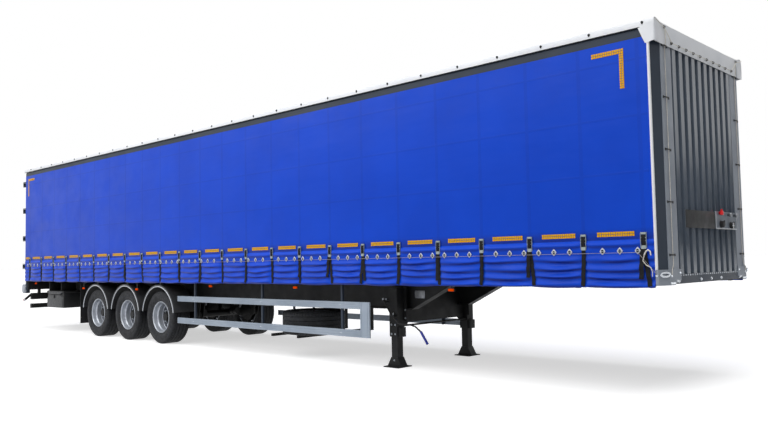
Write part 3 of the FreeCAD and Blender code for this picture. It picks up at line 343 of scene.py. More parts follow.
def tarpaulin(name, colours, seams_z, first_x, pitch_x):
    """Lacquered PVC cloth with long welded seams, an upright line at each strap, and painted shade under its
    folds.
    """
    material, tree, shader = start_material(name)
    spot = add(tree, "ShaderNodeTexCoord").outputs["Object"]
    split = add(tree, "ShaderNodeSeparateXYZ", {0: spot})
    along, height = split.outputs[0], split.outputs[2]
    weld_half, weld_soft = 0.011, 0.002
    welds = larger(tree, *(band_mask(tree, away_from(tree, height, z), weld_half, weld_soft)
                           for z in seams_z))
    # the webbing repeats every strap pitch: wrap the distance from the first strap
    moved = add(tree, "ShaderNodeMath", {0: along, 1: first_x - pitch_x / 2}, operation="SUBTRACT").outputs[0]
    wrapped = add(tree, "ShaderNodeMath", {0: moved, 1: 0.0, 2: pitch_x}, operation="WRAP").outputs[0]
    webbing = band_mask(tree, away_from(tree, wrapped, pitch_x / 2), 0.020, 0.006)
    upper = add(tree, "ShaderNodeMapRange", {"Value": height, "From Min": 1.70, "From Max": 1.80}).outputs[0]
    webbing = add(tree, "ShaderNodeMath", {0: webbing, 1: upper}, operation="MULTIPLY").outputs[0]
    cloud = spread(tree, patches(tree, 900), 0, 1)
    base = two_tone(tree, cloud, *colours)
    lines = add(tree, "ShaderNodeMath", {0: larger(tree, welds, webbing), 1: 0.10},
                operation="MULTIPLY").outputs[0]
    # painted shade: where the cloth faces down, on the undersides of the folds, its colour is mixed towards dark
    # blue
    facing = add(tree, "ShaderNodeSeparateXYZ",
                 {0: add(tree, "ShaderNodeNewGeometry").outputs["Normal"]}).outputs[2]
    fold_underside_shade = add(tree, "ShaderNodeMapRange", {"Value": facing, "From Min": 0.05, "From Max": -0.60,
                                             "To Max": 0.80}).outputs[0]
    fold_shaded_base = add(tree, "ShaderNodeMix", {0: fold_underside_shade, 6: base, 7: hue("061A74")}, data_type="RGBA").outputs[2]
    dark = add(tree, "ShaderNodeMix", {0: lines, 6: fold_shaded_base, 7: hue("141F66")}, data_type="RGBA").outputs[2]
    tree.links.new(dark, shader.inputs["Base Color"])
    tree.links.new(spread(tree, patches(tree, 350), 0.30, 0.42), shader.inputs["Roughness"])
    # the base weave is 1 mm a thread; it is drawn at 6 mm, the finest that shows
    weave = [add(tree, "ShaderNodeTexWave", {"Vector": spot, "Scale": 1 / 0.006 / 6.3}, bands_direction=way,
                 wave_type="BANDS").outputs["Fac"] for way in ("X", "Z")]
    cloth = raised(tree, larger(tree, *weave), 0.08, shader)
    crumple = raised(tree, patches(tree, 420, 2.0, (0.5, 1, 1.6)), 6.0, shader, after=cloth)
    raised(tree, larger(tree, welds, webbing), 0.4, shader, after=crumple)
    shader.inputs["Specular IOR Level"].default_value = 0.16
    return material


def roof_cloth():
    """Off-white PVC cloth, a little dusty on top, with a soft crumple."""
    material, tree, shader = start_material("off_white_roof_tarpaulin")
    cloud = spread(tree, patches(tree, 700), 0, 1)
    tree.links.new(two_tone(tree, cloud, "E9ECF0", "F2F4F6"), shader.inputs["Base Color"])
    tree.links.new(spread(tree, patches(tree, 300), 0.36, 0.50), shader.inputs["Roughness"])
    cloth = raised(tree, patches(tree, 6, 2.0), 0.10, shader)
    raised(tree, patches(tree, 180, 2.0), 6.0, shader, after=cloth)
    return material


def tyre_rubber():
    """Carbon-black tread rubber: near black, dull, with faint moulding rings and a dusting of road dirt."""
    material, tree, shader = start_material("moulded_tyre_rubber")
    dust = spread(tree, patches(tree, 90), 0, 1)
    tree.links.new(two_tone(tree, dust, "141518", "202226"), shader.inputs["Base Color"])
    tree.links.new(spread(tree, patches(tree, 40), 0.55, 0.75), shader.inputs["Roughness"])
    raised(tree, patches(tree, 3, 2.0), 0.20, shader)
    shader.inputs["Specular IOR Level"].default_value = 0.3
    return material


def plywood():
    """Phenolic-faced birch plywood: brown, with a fine wire-mesh grip pressed into its top."""
    material, tree, shader = start_material("phenolic_faced_plywood")
    grain = patches(tree, 60, 4.0, (0.08, 1, 1))
    tree.links.new(two_tone(tree, spread(tree, grain, 0, 1), "4A3423", "5C432E"), shader.inputs["Base Color"])
    tree.links.new(spread(tree, patches(tree, 200), 0.45, 0.60), shader.inputs["Roughness"])
    spot = add(tree, "ShaderNodeTexCoord").outputs["Object"]
    mesh = add(tree, "ShaderNodeTexVoronoi", {"Vector": spot, "Scale": 1 / 0.008}).outputs[0]
    raised(tree, mesh, 0.3, shader)
    return material


def reflector(name, first, second, cell_mm, gloss=0.5):
    """Moulded reflector: bright pigment behind small prisms, which show as a fine cellular sparkle."""
    material, tree, shader = start_material(name)
    spot = add(tree, "ShaderNodeTexCoord").outputs["Object"]
    cell = add(tree, "ShaderNodeTexVoronoi", {"Vector": spot, "Scale": 1000 / cell_mm}).outputs["Distance"]
    tree.links.new(two_tone(tree, spread(tree, cell, 0, 1, 0.1, 0.6), first, second),
                   shader.inputs["Base Color"])
    tree.links.new(spread(tree, cell, 0.15, 0.35, 0.1, 0.6), shader.inputs["Roughness"])
    raised(tree, cell, 0.5, shader)
    shader.inputs["Coat Weight"].default_value = 0.4 * gloss
    shader.inputs["Coat Roughness"].default_value = 0.08
    shader.inputs["Specular IOR Level"].default_value = gloss
    return material


straps_low, straps_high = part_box("curtain_straps")
STRAP_HALF = 0.025
STRAP_COUNT = 24
strap_first = straps_high.x - STRAP_HALF
strap_pitch = (straps_high.x - straps_low.x - 2 * STRAP_HALF) / (STRAP_COUNT - 1)
WELD_HEIGHTS = (3.60, 3.00, 2.40)
finishes["curtain_blue"] = tarpaulin("blue_curtain_tarpaulin", ("0345CA", "054AD4"), WELD_HEIGHTS, strap_first,
                                     strap_pitch)
finishes["roof_white"] = roof_cloth()
finishes["tyre_rubber"] = tyre_rubber()
finishes["floor_ply"] = plywood()
finishes["tape_amber"] = reflector("amber_reflective_tape", "E09C00", "F6BA00", 6, 0.05)
finishes["lamp_orange"] = reflector("orange_lamp_lens", "FF3C00", "FF5600", 5, 0.0)
finishes["lamp_red"] = reflector("red_lamp_lens", "8E0810", "C40E16", 5)
finishes["lamp_clear"] = reflector("clear_lamp_lens", "B9BEC6", "E4E7EB", 5)

# %% [markdown]
# ### Dress the frame
# Each steel, aluminium or rubber sub-part of the frame keeps its shape and takes a finish. The ones that are
# replaced later are hidden then.

# %% Finish for each sub-part of the frame
NODE_FINISH = {
    "chassis_black": ["main_beams", "neck_beams", "cross_members", "coupler_plate", "axles", "brake_chambers",
                      "hangers", "spare_carrier", "landing_legs", "landing_feet", "landing_crank", "rear_bumper",
                      "rear_apron", "air_tanks"],
    "tool_grey": ["mudguards"],
    "frame_grey": ["guard_uprights", "front_frame", "cant_rails", "rear_frame", "side_rails", "door_left",
                   "door_right"],
    "wall_grey": ["front_wall"],
    "galvanised": ["side_posts", "roof_bows", "door_left_bars", "door_right_bars"],
    "aluminium_profile": ["side_guards"],
    "strip_grey": ["corner_plates", "front_strips"],
    "panel_grey": ["service_panel"],
    "coupling_metal": ["kingpin", "service_couplings"],
    "black_rubber": ["mudflaps", "air_springs"],
    "black_plastic": ["tool_box"],
    "buffer_grey": ["rear_buffers"],
    "lamp_orange": ["side_lamps"],
    "lamp_red": ["rear_lamps"],
    "roof_white": ["roof_cover"],
    "floor_ply": ["floor"],
    "curtain_blue": ["curtain_left", "curtain_right"],
    "strap_black": ["curtain_straps"],
    "tyre_rubber": [name for name in node_objects if "tyre" in name],
    "wheel_steel": [name for name in node_objects if name.startswith("rim_") or name == "spare_rim"],
}
for key, names in NODE_FINISH.items():
    for name in names:
        slots = node_objects[name].data.materials
        slots.clear()
        slots.append(finishes[key])
print("dressed", sum(len(names) for names in NODE_FINISH.values()))

# %% [markdown]
# ## Making meshes
# A small collector gathers corners and faces. Most forms on a trailer are one of four: a grid of points, a
# profile turned round an axle, a section swept along a path, or a flat outline given a thickness.


# %% The collector
class Shape:
    """Corners and faces that become one mesh."""

    def __init__(self):
        self.corners = []
        self.faces = []

    def add(self, corners, faces):
        """Adds a patch whose faces number its own corners from 0."""
        first = len(self.corners)
        self.corners += [tuple(corner) for corner in corners]
        self.faces += [tuple(first + k for k in face) for face in faces]
        return self

    def grid(self, rows, close_rows=False, close_columns=False):
        """Quads between rows of points; either way round may be closed."""
        count, width = len(rows), len(rows[0])
        faces = []
        for j in range(count if close_rows else count - 1):
            for i in range(width if close_columns else width - 1):
                below = (j + 1) % count
                beside = (i + 1) % width
                faces.append((j * width + i, j * width + beside, below * width + beside, below * width + i))
        return self.add([corner for row in rows for corner in row], faces)

    def box(self, low, high):
        """A block between two corners."""
        (x0, y0, z0), (x1, y1, z1) = low, high
        corners = [(x, y, z) for x in (x0, x1) for y in (y0, y1) for z in (z0, z1)]
        return self.add(corners, [(0, 1, 3, 2), (4, 6, 7, 5), (0, 4, 5, 1), (2, 3, 7, 6), (0, 2, 6, 4),
                                  (1, 5, 7, 3)])

    def pair(self, low, high):
        """The same block on both sides, given on the left."""
        for side in SIDES:
            self.box((low[0], side * low[1], low[2]), (high[0], side * high[1], high[2]))
        return self

    def join(self, other):
        """Adds another shape's forms."""
        return self.add(other.corners, other.faces)

    def turn(self, profile, segments, closed=False):
        """A profile of (radius, place along Y) turned round the Y axis."""
        rows = []
        for k in range(segments):
            angle = 2 * math.pi * k / segments
            across, up = math.cos(angle), math.sin(angle)
            rows.append([(radius * across, place, radius * up) for radius, place in profile])
        return self.grid(rows, close_rows=True, close_columns=closed)

    def slab(self, outline, axis, low, high):
        """A flat outline given a thickness along X, Y or Z."""
        def lift(u, v, depth):
            return {"x": (depth, u, v), "y": (u, depth, v), "z": (u, v, depth)}[axis]
        count = len(outline)
        corners = [lift(u, v, depth) for depth in (low, high) for u, v in outline]
        faces = [tuple(range(count)), tuple(range(2 * count - 1, count - 1, -1))]
        faces += [(k, (k + 1) % count, count + (k + 1) % count, count + k) for k in range(count)]
        return self.add(corners, faces)

    def sweep(self, path, section, closed=False, side=(0, 1, 0)):
        """A closed section of (across, out) carried along a path; side gives its 'out' at the start."""
        spots = [Vector(spot) for spot in path]
        count = len(spots)
        out = Vector(side)
        rows = []
        for k, spot in enumerate(spots):
            before = spots[k - 1] if (k or closed) else spot
            after = spots[(k + 1) % count] if (k < count - 1 or closed) else spot
            way = (after - before).normalized()
            out = (out - way * out.dot(way)).normalized()
            across = way.cross(out)
            rows.append([spot + across * u + out * v for u, v in section])
        self.grid(rows, close_rows=closed, close_columns=True)
        if not closed:
            width = len(section)
            first = len(self.corners) - count * width
            self.faces.append(tuple(range(first + width - 1, first - 1, -1)))
            last = len(self.corners) - width
            self.faces.append(tuple(range(last, last + width)))
        return self


def circle(radius, count=8):
    """A round section."""
    return [(radius * math.cos(2 * math.pi * k / count), radius * math.sin(2 * math.pi * k / count))
            for k in range(count)]


def flat(width, thick):
    """A flat bar's section, its width across the path."""
    return [(-width / 2, 0), (width / 2, 0), (width / 2, thick), (-width / 2, thick)]


def mesh_of(name, shape, open_sheet=False):
    """A shape's mesh, its doubles merged and its faces turned outwards; an open sheet's faces stay as drawn."""
    mesh = bpy.data.meshes.new(name)
    mesh.from_pydata(shape.corners, [], shape.faces)
    work = bmesh.new()
    work.from_mesh(mesh)
    bmesh.ops.remove_doubles(work, verts=work.verts, dist=1e-5)
    if not open_sheet:
        bmesh.ops.recalc_face_normals(work, faces=work.faces)
    work.to_mesh(mesh)
    work.free()
    return mesh


def settle(mesh, sharp=38):
    """Smooth shading, kept sharp where faces meet at more than the given angle."""
    mesh.polygons.foreach_set("use_smooth", [True] * len(mesh.polygons))
    mesh.set_sharp_from_angle(angle=math.radians(sharp))


def plain_copy(source, name):
    """The evaluated object as a new plain mesh object; the source is removed."""
    graph = bpy.context.evaluated_depsgraph_get()
    mesh = bpy.data.meshes.new_from_object(source.evaluated_get(graph))
    bpy.data.objects.remove(source)
    mesh.name = name
    return add_object(name, mesh)


def softened(item, name, width, segments, limit):
    """The object with its edges rounded where its faces meet at more than a limit in degrees."""
    if not width:
        return item
    rounding = item.modifiers.new("softened edges", "BEVEL")
    rounding.width = width
    rounding.segments = segments
    rounding.limit_method = "ANGLE"
    rounding.angle_limit = math.radians(limit)
    return plain_copy(item, name)


made = []


def place_piece(piece, body, replaced=(), sharp=38):
    """Shades a finished piece, rides it on its body and hides the nodes that it replaces."""
    settle(piece.data, sharp)
    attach(piece, body)
    if replaced:
        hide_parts(*replaced)
    made.append(piece.name)
    return piece


def build(name, shape, key, body="root", replaced=(), bevel=0.0, open_sheet=False, sharp=38):
    """A shape as a finished piece, of that name, in the finish of that key."""
    mesh = mesh_of(name, shape, open_sheet)
    mesh.materials.append(finishes[key])
    piece = softened(add_object(name, mesh), name, bevel, 2, 35)
    return place_piece(piece, body, replaced, sharp)


# %% [markdown]
# ## Repeating small parts with Geometry Nodes
# Buckles, eyelets, tape, bolts and wheel nuts are each drawn once and repeated. Two node trees do it: a row of
# points at a fixed step, and a ring of points round a wheel's axis. Both end by turning the copies into real
# geometry and giving them their finish.


# %% The two trees
def tree_with(name, sockets):
    """An empty geometry tree with named inputs."""
    tree = bpy.data.node_groups.new(name, "GeometryNodeTree")
    tree.interface.new_socket(name="Geometry", in_out="OUTPUT", socket_type="NodeSocketGeometry")
    for label, kind in sockets:
        tree.interface.new_socket(name=label, in_out="INPUT", socket_type="NodeSocket" + kind)
    return tree, add(tree, "NodeGroupInput").outputs


def close_tree(tree, points, inputs, turn):
    """Puts the unit on every point, makes the copies real and gives them their finish."""
    unit = add(tree, "GeometryNodeObjectInfo", {"Object": inputs["Unit"]}).outputs["Geometry"]
    copies = add(tree, "GeometryNodeInstanceOnPoints", {"Points": points, "Instance": unit, "Rotation": turn})
    real = add(tree, "GeometryNodeRealizeInstances", {0: copies.outputs[0]})
    done = add(tree, "GeometryNodeSetMaterial", {"Geometry": real.outputs[0], "Material": inputs["Finish"]})
    add(tree, "NodeGroupOutput", {0: done.outputs[0]})
    return tree


def row_tree():
    """Count copies from Start, each Step further on; the whole row is repeated in the same way by Rows."""
    tree, inputs = tree_with("row of parts", (("Unit", "Object"), ("Finish", "Material"), ("Count", "Int"),
                                              ("Start", "Vector"), ("Step", "Vector"), ("Rows", "Int"),
                                              ("Row Step", "Vector"), ("Turn", "Vector")))
    rows = add(tree, "GeometryNodeMeshLine", {"Count": inputs["Rows"], "Start Location": inputs["Start"],
                                              "Offset": inputs["Row Step"]}, mode="OFFSET")
    line = add(tree, "GeometryNodeMeshLine", {"Count": inputs["Count"], "Offset": inputs["Step"]},
               mode="OFFSET")
    spots = add(tree, "GeometryNodeInstanceOnPoints",
                {"Points": rows.outputs[0], "Instance": line.outputs[0]})
    points = add(tree, "GeometryNodeRealizeInstances", {0: spots.outputs[0]})
    return close_tree(tree, points.outputs[0], inputs, inputs["Turn"])


def ring_tree():
    """Count copies round the Y axis through Centre, each turned to face away from it."""
    tree, inputs = tree_with("ring of parts", (("Unit", "Object"), ("Finish", "Material"), ("Count", "Int"),
                                               ("Radius", "Float"), ("Centre", "Vector")))
    ring = add(tree, "GeometryNodeMeshCircle", {"Vertices": inputs["Count"], "Radius": inputs["Radius"]})
    order = add(tree, "GeometryNodeInputIndex").outputs[0]
    share = add(tree, "ShaderNodeMath", {0: order, 1: inputs["Count"]}, operation="DIVIDE").outputs[0]
    angle = add(tree, "ShaderNodeMath", {0: share, 1: -2 * math.pi}, operation="MULTIPLY").outputs[0]
    upright = add(tree, "GeometryNodeTransform", {"Geometry": ring.outputs[0], "Translation": inputs["Centre"],
                                                  "Rotation": (math.pi / 2, 0.0, 0.0)})
    turn = add(tree, "ShaderNodeCombineXYZ", {1: angle}).outputs[0]
    return close_tree(tree, upright.outputs[0], inputs, turn)


ROW = row_tree()
RING = ring_tree()


def joined(name, objects, material):
    """Several plain mesh objects as one, in one finish."""
    work = bmesh.new()
    for item in objects:
        work.from_mesh(item.data)
    for face in work.faces:
        face.material_index = 0
    mesh = bpy.data.meshes.new(name)
    work.to_mesh(mesh)
    work.free()
    mesh.materials.append(material)
    for item in objects:
        bpy.data.objects.remove(item)
    return add_object(name, mesh)


def repeat(name, shape, key, runs, tree=ROW, body="root", bevel=0.0, sharp=38):
    """One piece from a part that is drawn once, round the origin; each run holds the tree's named inputs."""
    unit = softened(add_object("unit", mesh_of("unit", shape)), "unit", bevel, 1, 30)
    parts = []
    for run in runs:
        carrier = add_object(name, bpy.data.meshes.new(name))
        modifier = carrier.modifiers.new("repeat", "NODES")
        modifier.node_group = tree
        for item in tree.interface.items_tree:
            if item.in_out == "INPUT":
                modifier[item.identifier] = dict(run, Unit=unit, Finish=finishes[key])[item.name]
        parts.append(plain_copy(carrier, name))
    piece = joined(name, parts, finishes[key])
    bpy.data.objects.remove(unit)
    return place_piece(piece, body, sharp=sharp)


SIDES = (-1, 1)                                           # right, then left
STILL = (0.0, 0.0, 0.0)
OUTWARDS = {1: STILL, -1: (0.0, 0.0, math.pi)}            # turns a part that faces +Y away from the trailer
TO_FRONT, TO_REAR = (0.0, 0.0, -math.pi / 2), (0.0, 0.0, math.pi / 2)


def row(start, turn, count=1, step=STILL, rows=1, row_step=STILL):
    """The inputs of a row of parts, by the names that its tree gives them."""
    return {"Start": start, "Turn": turn, "Count": count, "Step": step, "Rows": rows, "Row Step": row_step}


print("trees", [tree.name for tree in (ROW, RING)])

# %% [markdown]
# ## The curtains
# Above the buckles a curtain is pulled flat. Below them hangs a skirt with spare cloth in it: the straps pinch
# it every 0.69 m, and between two straps it puffs out and lies in a few long, nearly level folds. One function
# gives the cloth's distance from the middle of the trailer at any place, so that the cloth, the straps, the
# eyelets and the lacing cord all agree.

# %% The shape of the cloth
curtain_low, curtain_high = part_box("curtain_left")
CREASE = 1.70                       # height at which the skirt begins
EYELET_HEIGHT = 1.572               # height of the row of eyelets
FLAT_FACE = 1.2745                  # the tightened cloth's distance from the middle
HEM = curtain_low.z + 0.004
SKIRT_DEPTH = CREASE - HEM
dice = random.Random(17)


def fold_set():
    """The valleys between one bay's folds, from the top down, as (height, tilt, sag), and each fold's depth."""
    valleys = [(1.552, 0.0, 0.0)]
    drop = dice.uniform(0.088, 0.100)
    while valleys[-1][0] - drop > HEM + 0.030:
        valleys.append((valleys[-1][0] - drop, dice.uniform(-0.028, 0.028), dice.uniform(0.0, 0.016)))
        drop = dice.uniform(0.076, 0.112)
    valleys.append((HEM - 0.020, 0.0, 0.0))
    depths = [(dice.uniform(0.026, 0.042), dice.uniform(0.6, 1.4), dice.uniform(0, 6)) for _ in valleys[1:]]
    return valleys, depths


def fold_out(folds, part, z):
    """How far the folds stand out at a place: a slope facing up, then one underneath."""
    valleys, depths = folds
    levels = [height + tilt * (part - 0.5) - sag * 4 * part * (1 - part) for height, tilt, sag in valleys]
    for (top, foot), (depth, rate, phase) in zip(zip(levels, levels[1:]), depths):
        if foot <= z < top:
            share = ((top - z) / (top - foot)) ** 1.12
            wave = 0.72 + 0.28 * math.sin(math.pi * 2 * rate * part + phase)
            return depth * wave * (0.5 - 0.5 * math.cos(2 * math.pi * share))
    return 0.0


BAYS = {side: [(fold_set(), dice.uniform(0.006, 0.014), dice.uniform(0.004, 0.018))
               for bay in range(STRAP_COUNT + 1)] for side in SIDES}


def cloth_out(side, x, z):
    """Distance of the cloth from the middle plane."""
    bay = (strap_first - x) / strap_pitch
    index = math.floor(bay)
    part = bay - index
    pinch = 1 - math.exp(-(min(part, 1 - part) * strap_pitch / 0.050) ** 2)
    slack = math.sin(math.pi * part) ** 0.5 if part > 0 else 0.0
    if index < 0 or index >= STRAP_COUNT - 1:
        slack, pinch = 0.35, 0.4
    folds, puff, sag = BAYS[side][min(max(index + 1, 0), STRAP_COUNT)]
    ripple = 0.0016 * math.sin(x * 2.1 + side) * math.sin((z - CREASE) * 1.5)
    if z >= CREASE:
        pull = math.exp(-(z - CREASE) / 0.10) * 0.0022 * math.cos(2 * math.pi * part)
        return FLAT_FACE + ripple - pull
    depth = (CREASE - z) / SKIRT_DEPTH
    swell = math.sin(math.pi * min(depth, 1.0)) ** 0.7
    out = FLAT_FACE + swell * (0.002 + (0.002 + puff) * slack)
    out += fold_out(folds, part, z) * (0.30 + 0.70 * slack) * (0.30 + 0.70 * pinch)
    out += 0.016 * (0.4 + 0.6 * pinch) * math.exp(-((z - 1.644) / 0.028) ** 2)
    # under the tape the flat cloth ends in a crease, and the skirt rises out of it
    out -= 0.009 * math.exp(-((z - CREASE + 0.010) / 0.011) ** 2)
    gather = 0.004 * (1 - pinch) * math.sin(depth * 34)
    out += gather - 0.012 * (1 - pinch) * swell
    # the cord draws the cloth in along the line of the eyelets
    drawn = 0.85 * math.exp(-((z - EYELET_HEIGHT) / 0.034) ** 2)
    return out + (FLAT_FACE + 0.010 - out) * drawn


def hem_drop(side, x):
    """How far the hem hangs below its straight line between two straps."""
    bay = (strap_first - x) / strap_pitch
    index = math.floor(bay)
    part = bay - index
    if index < 0 or index >= STRAP_COUNT - 1:
        return 0.0
    return BAYS[side][index + 1][2] * 4 * part * (1 - part)


# %% The curtains themselves
COLUMNS_PER_BAY = 16
SKIRT_ROWS = 92
UPPER_ROWS = 18


def cloth_columns():
    """Places along the trailer: close together at the straps, where the cloth is pinched."""
    places = [curtain_high.x, (curtain_high.x + strap_first) / 2]
    for bay in range(STRAP_COUNT - 1):
        for k in range(COLUMNS_PER_BAY):
            even = k / COLUMNS_PER_BAY
            eased = even - 0.10 * math.sin(2 * math.pi * even)
            places.append(strap_first - (bay + eased) * strap_pitch)
    places.append(strap_first - (STRAP_COUNT - 1) * strap_pitch)
    places.append(curtain_low.x)
    return places


def curtain(side, name):
    """One side's curtain as a single open sheet."""
    shape = Shape()
    rows = []
    heights = [curtain_high.z - (curtain_high.z - CREASE) * k / UPPER_ROWS for k in range(UPPER_ROWS)]
    heights += [CREASE - SKIRT_DEPTH * k / SKIRT_ROWS for k in range(SKIRT_ROWS + 1)]
    for z in heights:
        share = max(0.0, (CREASE - z) / SKIRT_DEPTH)
        line = []
        for x in cloth_columns():
            out = cloth_out(side, x, z)
            droop = 0.45 * (out - FLAT_FACE) * math.sin(math.pi * share) + hem_drop(side, x) * share ** 3
            line.append((x, side * out, z - droop))
        rows.append(line[::side])
    shape.grid(rows)
    piece = build(name, shape, "curtain_blue", replaced=(name[:-6],), open_sheet=True, sharp=180)
    return piece


for side, name in ((-1, "curtain_right_cloth"), (1, "curtain_left_cloth")):
    sheet_piece = curtain(side, name)
    print(name, "faces", len(sheet_piece.data.polygons))

# %% [markdown]
# ### Straps, buckles and hooks
# Every strap is 50 mm webbing. It comes out of an over-centre buckle that is riveted to the cloth, runs down
# over the skirt and ends in a hook under the side rail. Hands pull them as they please, so each one leans a
# little, and some have their spare end hanging beside them.

# %% Straps
BUCKLE_TOP = straps_high.z
BUCKLE_FOOT = BUCKLE_TOP - 0.185
STRAP_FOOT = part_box("side_rails")[0].z + 0.004
strap_dice = random.Random(5)


def webbing(shape, side, x_top, x_foot, z_top, z_foot, lift):
    """A flat strap that lies over the cloth between two places."""
    path = []
    steps = 16
    for k in range(steps + 1):
        share = k / steps
        z = z_top + (z_foot - z_top) * share
        x = x_top + (x_foot - x_top) * share
        under = max(cloth_out(side, x + across, max(z, HEM)) for across in (-0.025, -0.012, 0.0, 0.012, 0.025))
        path.append([x, under + lift, z])
    for k in range(1, steps):
        path[k][1] = max(path[k][1], (path[k - 1][1] + path[k + 1][1]) / 2 - 0.002)
    shape.sweep([(x, side * out, z) for x, out, z in path], flat(2 * STRAP_HALF, 0.0022), side=(0, side, 0))


strap_shape = Shape()
hook_spots = []
for side in SIDES:
    for k in range(STRAP_COUNT):
        x = strap_first - k * strap_pitch
        lean = strap_dice.choice((0.0, 0.01, 0.02, -0.045, 0.055, -0.02))
        webbing(strap_shape, side, x, x + lean, BUCKLE_FOOT + 0.012, STRAP_FOOT, 0.002)
        if strap_dice.random() < 0.55:
            turn = strap_dice.uniform(-0.012, 0.012) - lean * 0.25
            webbing(strap_shape, side, x + turn, x + turn * 2, BUCKLE_FOOT + 0.015,
                    strap_dice.uniform(1.235, 1.29), 0.006)
        hook_spots.append((side, x + lean))
build("curtain_straps_cloth", strap_shape, "strap_black", replaced=("curtain_straps",), sharp=60)

hooks = Shape()
for side, x in hook_spots:
    rail_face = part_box("side_rails")[1].y
    out = cloth_out(side, x, HEM)
    path = [(x, side * (out + 0.001), STRAP_FOOT + 0.020), (x, side * (out + 0.002), STRAP_FOOT - 0.006),
            (x, side * (rail_face + 0.004), STRAP_FOOT - 0.016),
            (x, side * (rail_face - 0.010), STRAP_FOOT - 0.012),
            (x, side * (rail_face - 0.014), STRAP_FOOT - 0.004)]
    hooks.sweep(path, flat(0.040, 0.003), side=(0, side, 0))
build("strap_hooks", hooks, "chassis_black", sharp=50)


# %% Buckles
def buckle_parts():
    """(bright frame, dark lever) of one buckle facing +Y, its face at y = 0 and its middle at z = 0."""
    frame_shape = Shape()
    cheek = [(0.0, -0.085), (0.013, -0.078), (0.017, -0.040), (0.017, 0.050), (0.012, 0.084), (0.0, 0.090)]
    for x in (-0.031, 0.031):
        frame_shape.slab(cheek, "x", x - 0.0018, x + 0.0018)
    frame_shape.box((-0.026, 0.003, 0.066), (0.026, 0.014, 0.088))
    frame_shape.box((-0.025, 0.003, -0.086), (0.025, 0.015, -0.050))
    for z in (0.0, 0.030):
        frame_shape.sweep([(-0.033, 0.010, z), (0.033, 0.010, z)], circle(0.0045, 8))
    lever = Shape()
    lever.sweep([(0, 0.009, 0.060), (0, 0.0165, 0.035), (0, 0.0185, 0.0), (0, 0.0165, -0.030),
                 (0, 0.011, -0.048)], flat(0.040, 0.003), side=(0, 1, 0))
    lever.box((-0.024, 0.0, -0.050), (0.024, 0.004, 0.060))
    return frame_shape, lever


buckle_middle = (BUCKLE_TOP + BUCKLE_FOOT) / 2 + 0.002
buckle_rows = [row((strap_first, side * (FLAT_FACE + 0.001), buckle_middle), OUTWARDS[side], STRAP_COUNT,
                   (-strap_pitch, 0.0, 0.0)) for side in SIDES]
frame_part, lever_part = buckle_parts()
repeat("buckle_frames", frame_part, "buckle_zinc", buckle_rows)
repeat("buckle_levers", lever_part, "strap_black", buckle_rows)

# %% [markdown]
# ### Reflective tape
# A row of eight small squares is stuck above the crease in every bay, and an angle of the same squares marks
# the upper corners at each end of the curtain. Each square is itself four little cells.

# %% Tape
TAPE, TAPE_HIGH, TAPE_GAP = 0.0495, 0.050, 0.0045
TAPES_PER_BAY, TAPES_PER_MARK = 8, 7


def tape_square():
    """One square of tape, in four raised cells, facing +Y from y = 0."""
    shape = Shape()
    groove = 0.0022
    for x0, x1 in ((-TAPE / 2, -groove), (groove, TAPE / 2)):
        for z0, z1 in ((-TAPE_HIGH / 2, -groove), (groove, TAPE_HIGH / 2)):
            shape.box((x0, 0.0, z0), (x1, 0.0012, z1))
    return shape


TAPE_STEP = TAPE + TAPE_GAP
TAPE_HEIGHT = CREASE + 0.053
MARK_TOP, MARK_FRONT_IN, MARK_REAR_IN = 3.715, 0.285, 0.190      # the corner marks' height and their insets
first_tape = strap_first - 0.125
last_tape = strap_first - (STRAP_COUNT - 1) * strap_pitch - 0.075
last_count = int((last_tape - TAPE / 2 - curtain_low.x) / TAPE_STEP) + 1
tape_rows = []
for side in SIDES:
    face, turn = side * (FLAT_FACE + 0.0035), OUTWARDS[side]
    tape_rows.append(row((first_tape, face, TAPE_HEIGHT), turn, TAPES_PER_BAY, (-TAPE_STEP, 0.0, 0.0),
                         STRAP_COUNT - 1, (-strap_pitch, 0.0, 0.0)))
    tape_rows.append(row((last_tape, face, TAPE_HEIGHT), turn, last_count, (-TAPE_STEP, 0.0, 0.0)))
    for end, inner in ((curtain_high.x - MARK_FRONT_IN, -1), (curtain_low.x + MARK_REAR_IN, 1)):
        tape_rows.append(row((end, face, MARK_TOP), turn, TAPES_PER_MARK, (inner * TAPE_STEP, 0.0, 0.0)))
        tape_rows.append(row((end, face, MARK_TOP - TAPE_HIGH - TAPE_GAP), turn, TAPES_PER_MARK,
                             (0.0, 0.0, -TAPE_HIGH - TAPE_GAP)))
repeat("reflective_tape", tape_square(), "tape_amber", tape_rows)

# %% [markdown]
# ### Eyelets and the lacing cord
# Diamond-shaped eyelet plates stand along the skirt every 0.2 m. A thin cord runs through them all and is tied
# off at the corner plate, so that nobody can open the curtain unseen. It is pulled tight, so it is drawn as
# straight runs.

# %% Eyelets
EYELET_PITCH = 0.200
eyelet_first = curtain_high.x - 0.175
eyelet_count = int((eyelet_first - curtain_low.x - 0.1) / EYELET_PITCH) + 1


def eyelet_plate():
    """A diamond plate with a round hole and a staple, facing +Y."""
    shape = Shape()
    count = 16
    outer, inner, face = [], [], []
    for k in range(count):
        angle = 2 * math.pi * k / count
        reach = 0.040 / (abs(math.cos(angle)) ** 1.15 + abs(math.sin(angle)) ** 1.15) ** (1 / 1.15)
        outer.append((reach * 0.86 * math.cos(angle), 0.0, reach * math.sin(angle)))
        face.append((reach * 0.78 * math.cos(angle), 0.004, reach * 0.90 * math.sin(angle)))
        inner.append((0.017 * math.cos(angle), 0.005, 0.019 * math.sin(angle)))
    deep = [(x, -0.003, z) for x, y, z in inner]
    shape.grid([outer, face, inner, deep], close_columns=True)
    shape.sweep([(-0.017, 0.002, 0.0), (-0.014, 0.014, 0.0), (0.014, 0.014, 0.0), (0.017, 0.002, 0.0)],
                circle(0.0022, 6), side=(0, 0, 1))
    return shape


def eyelet_shade_disc():
    """A black disc across the plate's hole: painted shade for the dark seen through it."""
    return Shape().slab(circle(0.0185, 14), "y", 0.0, 0.0008)


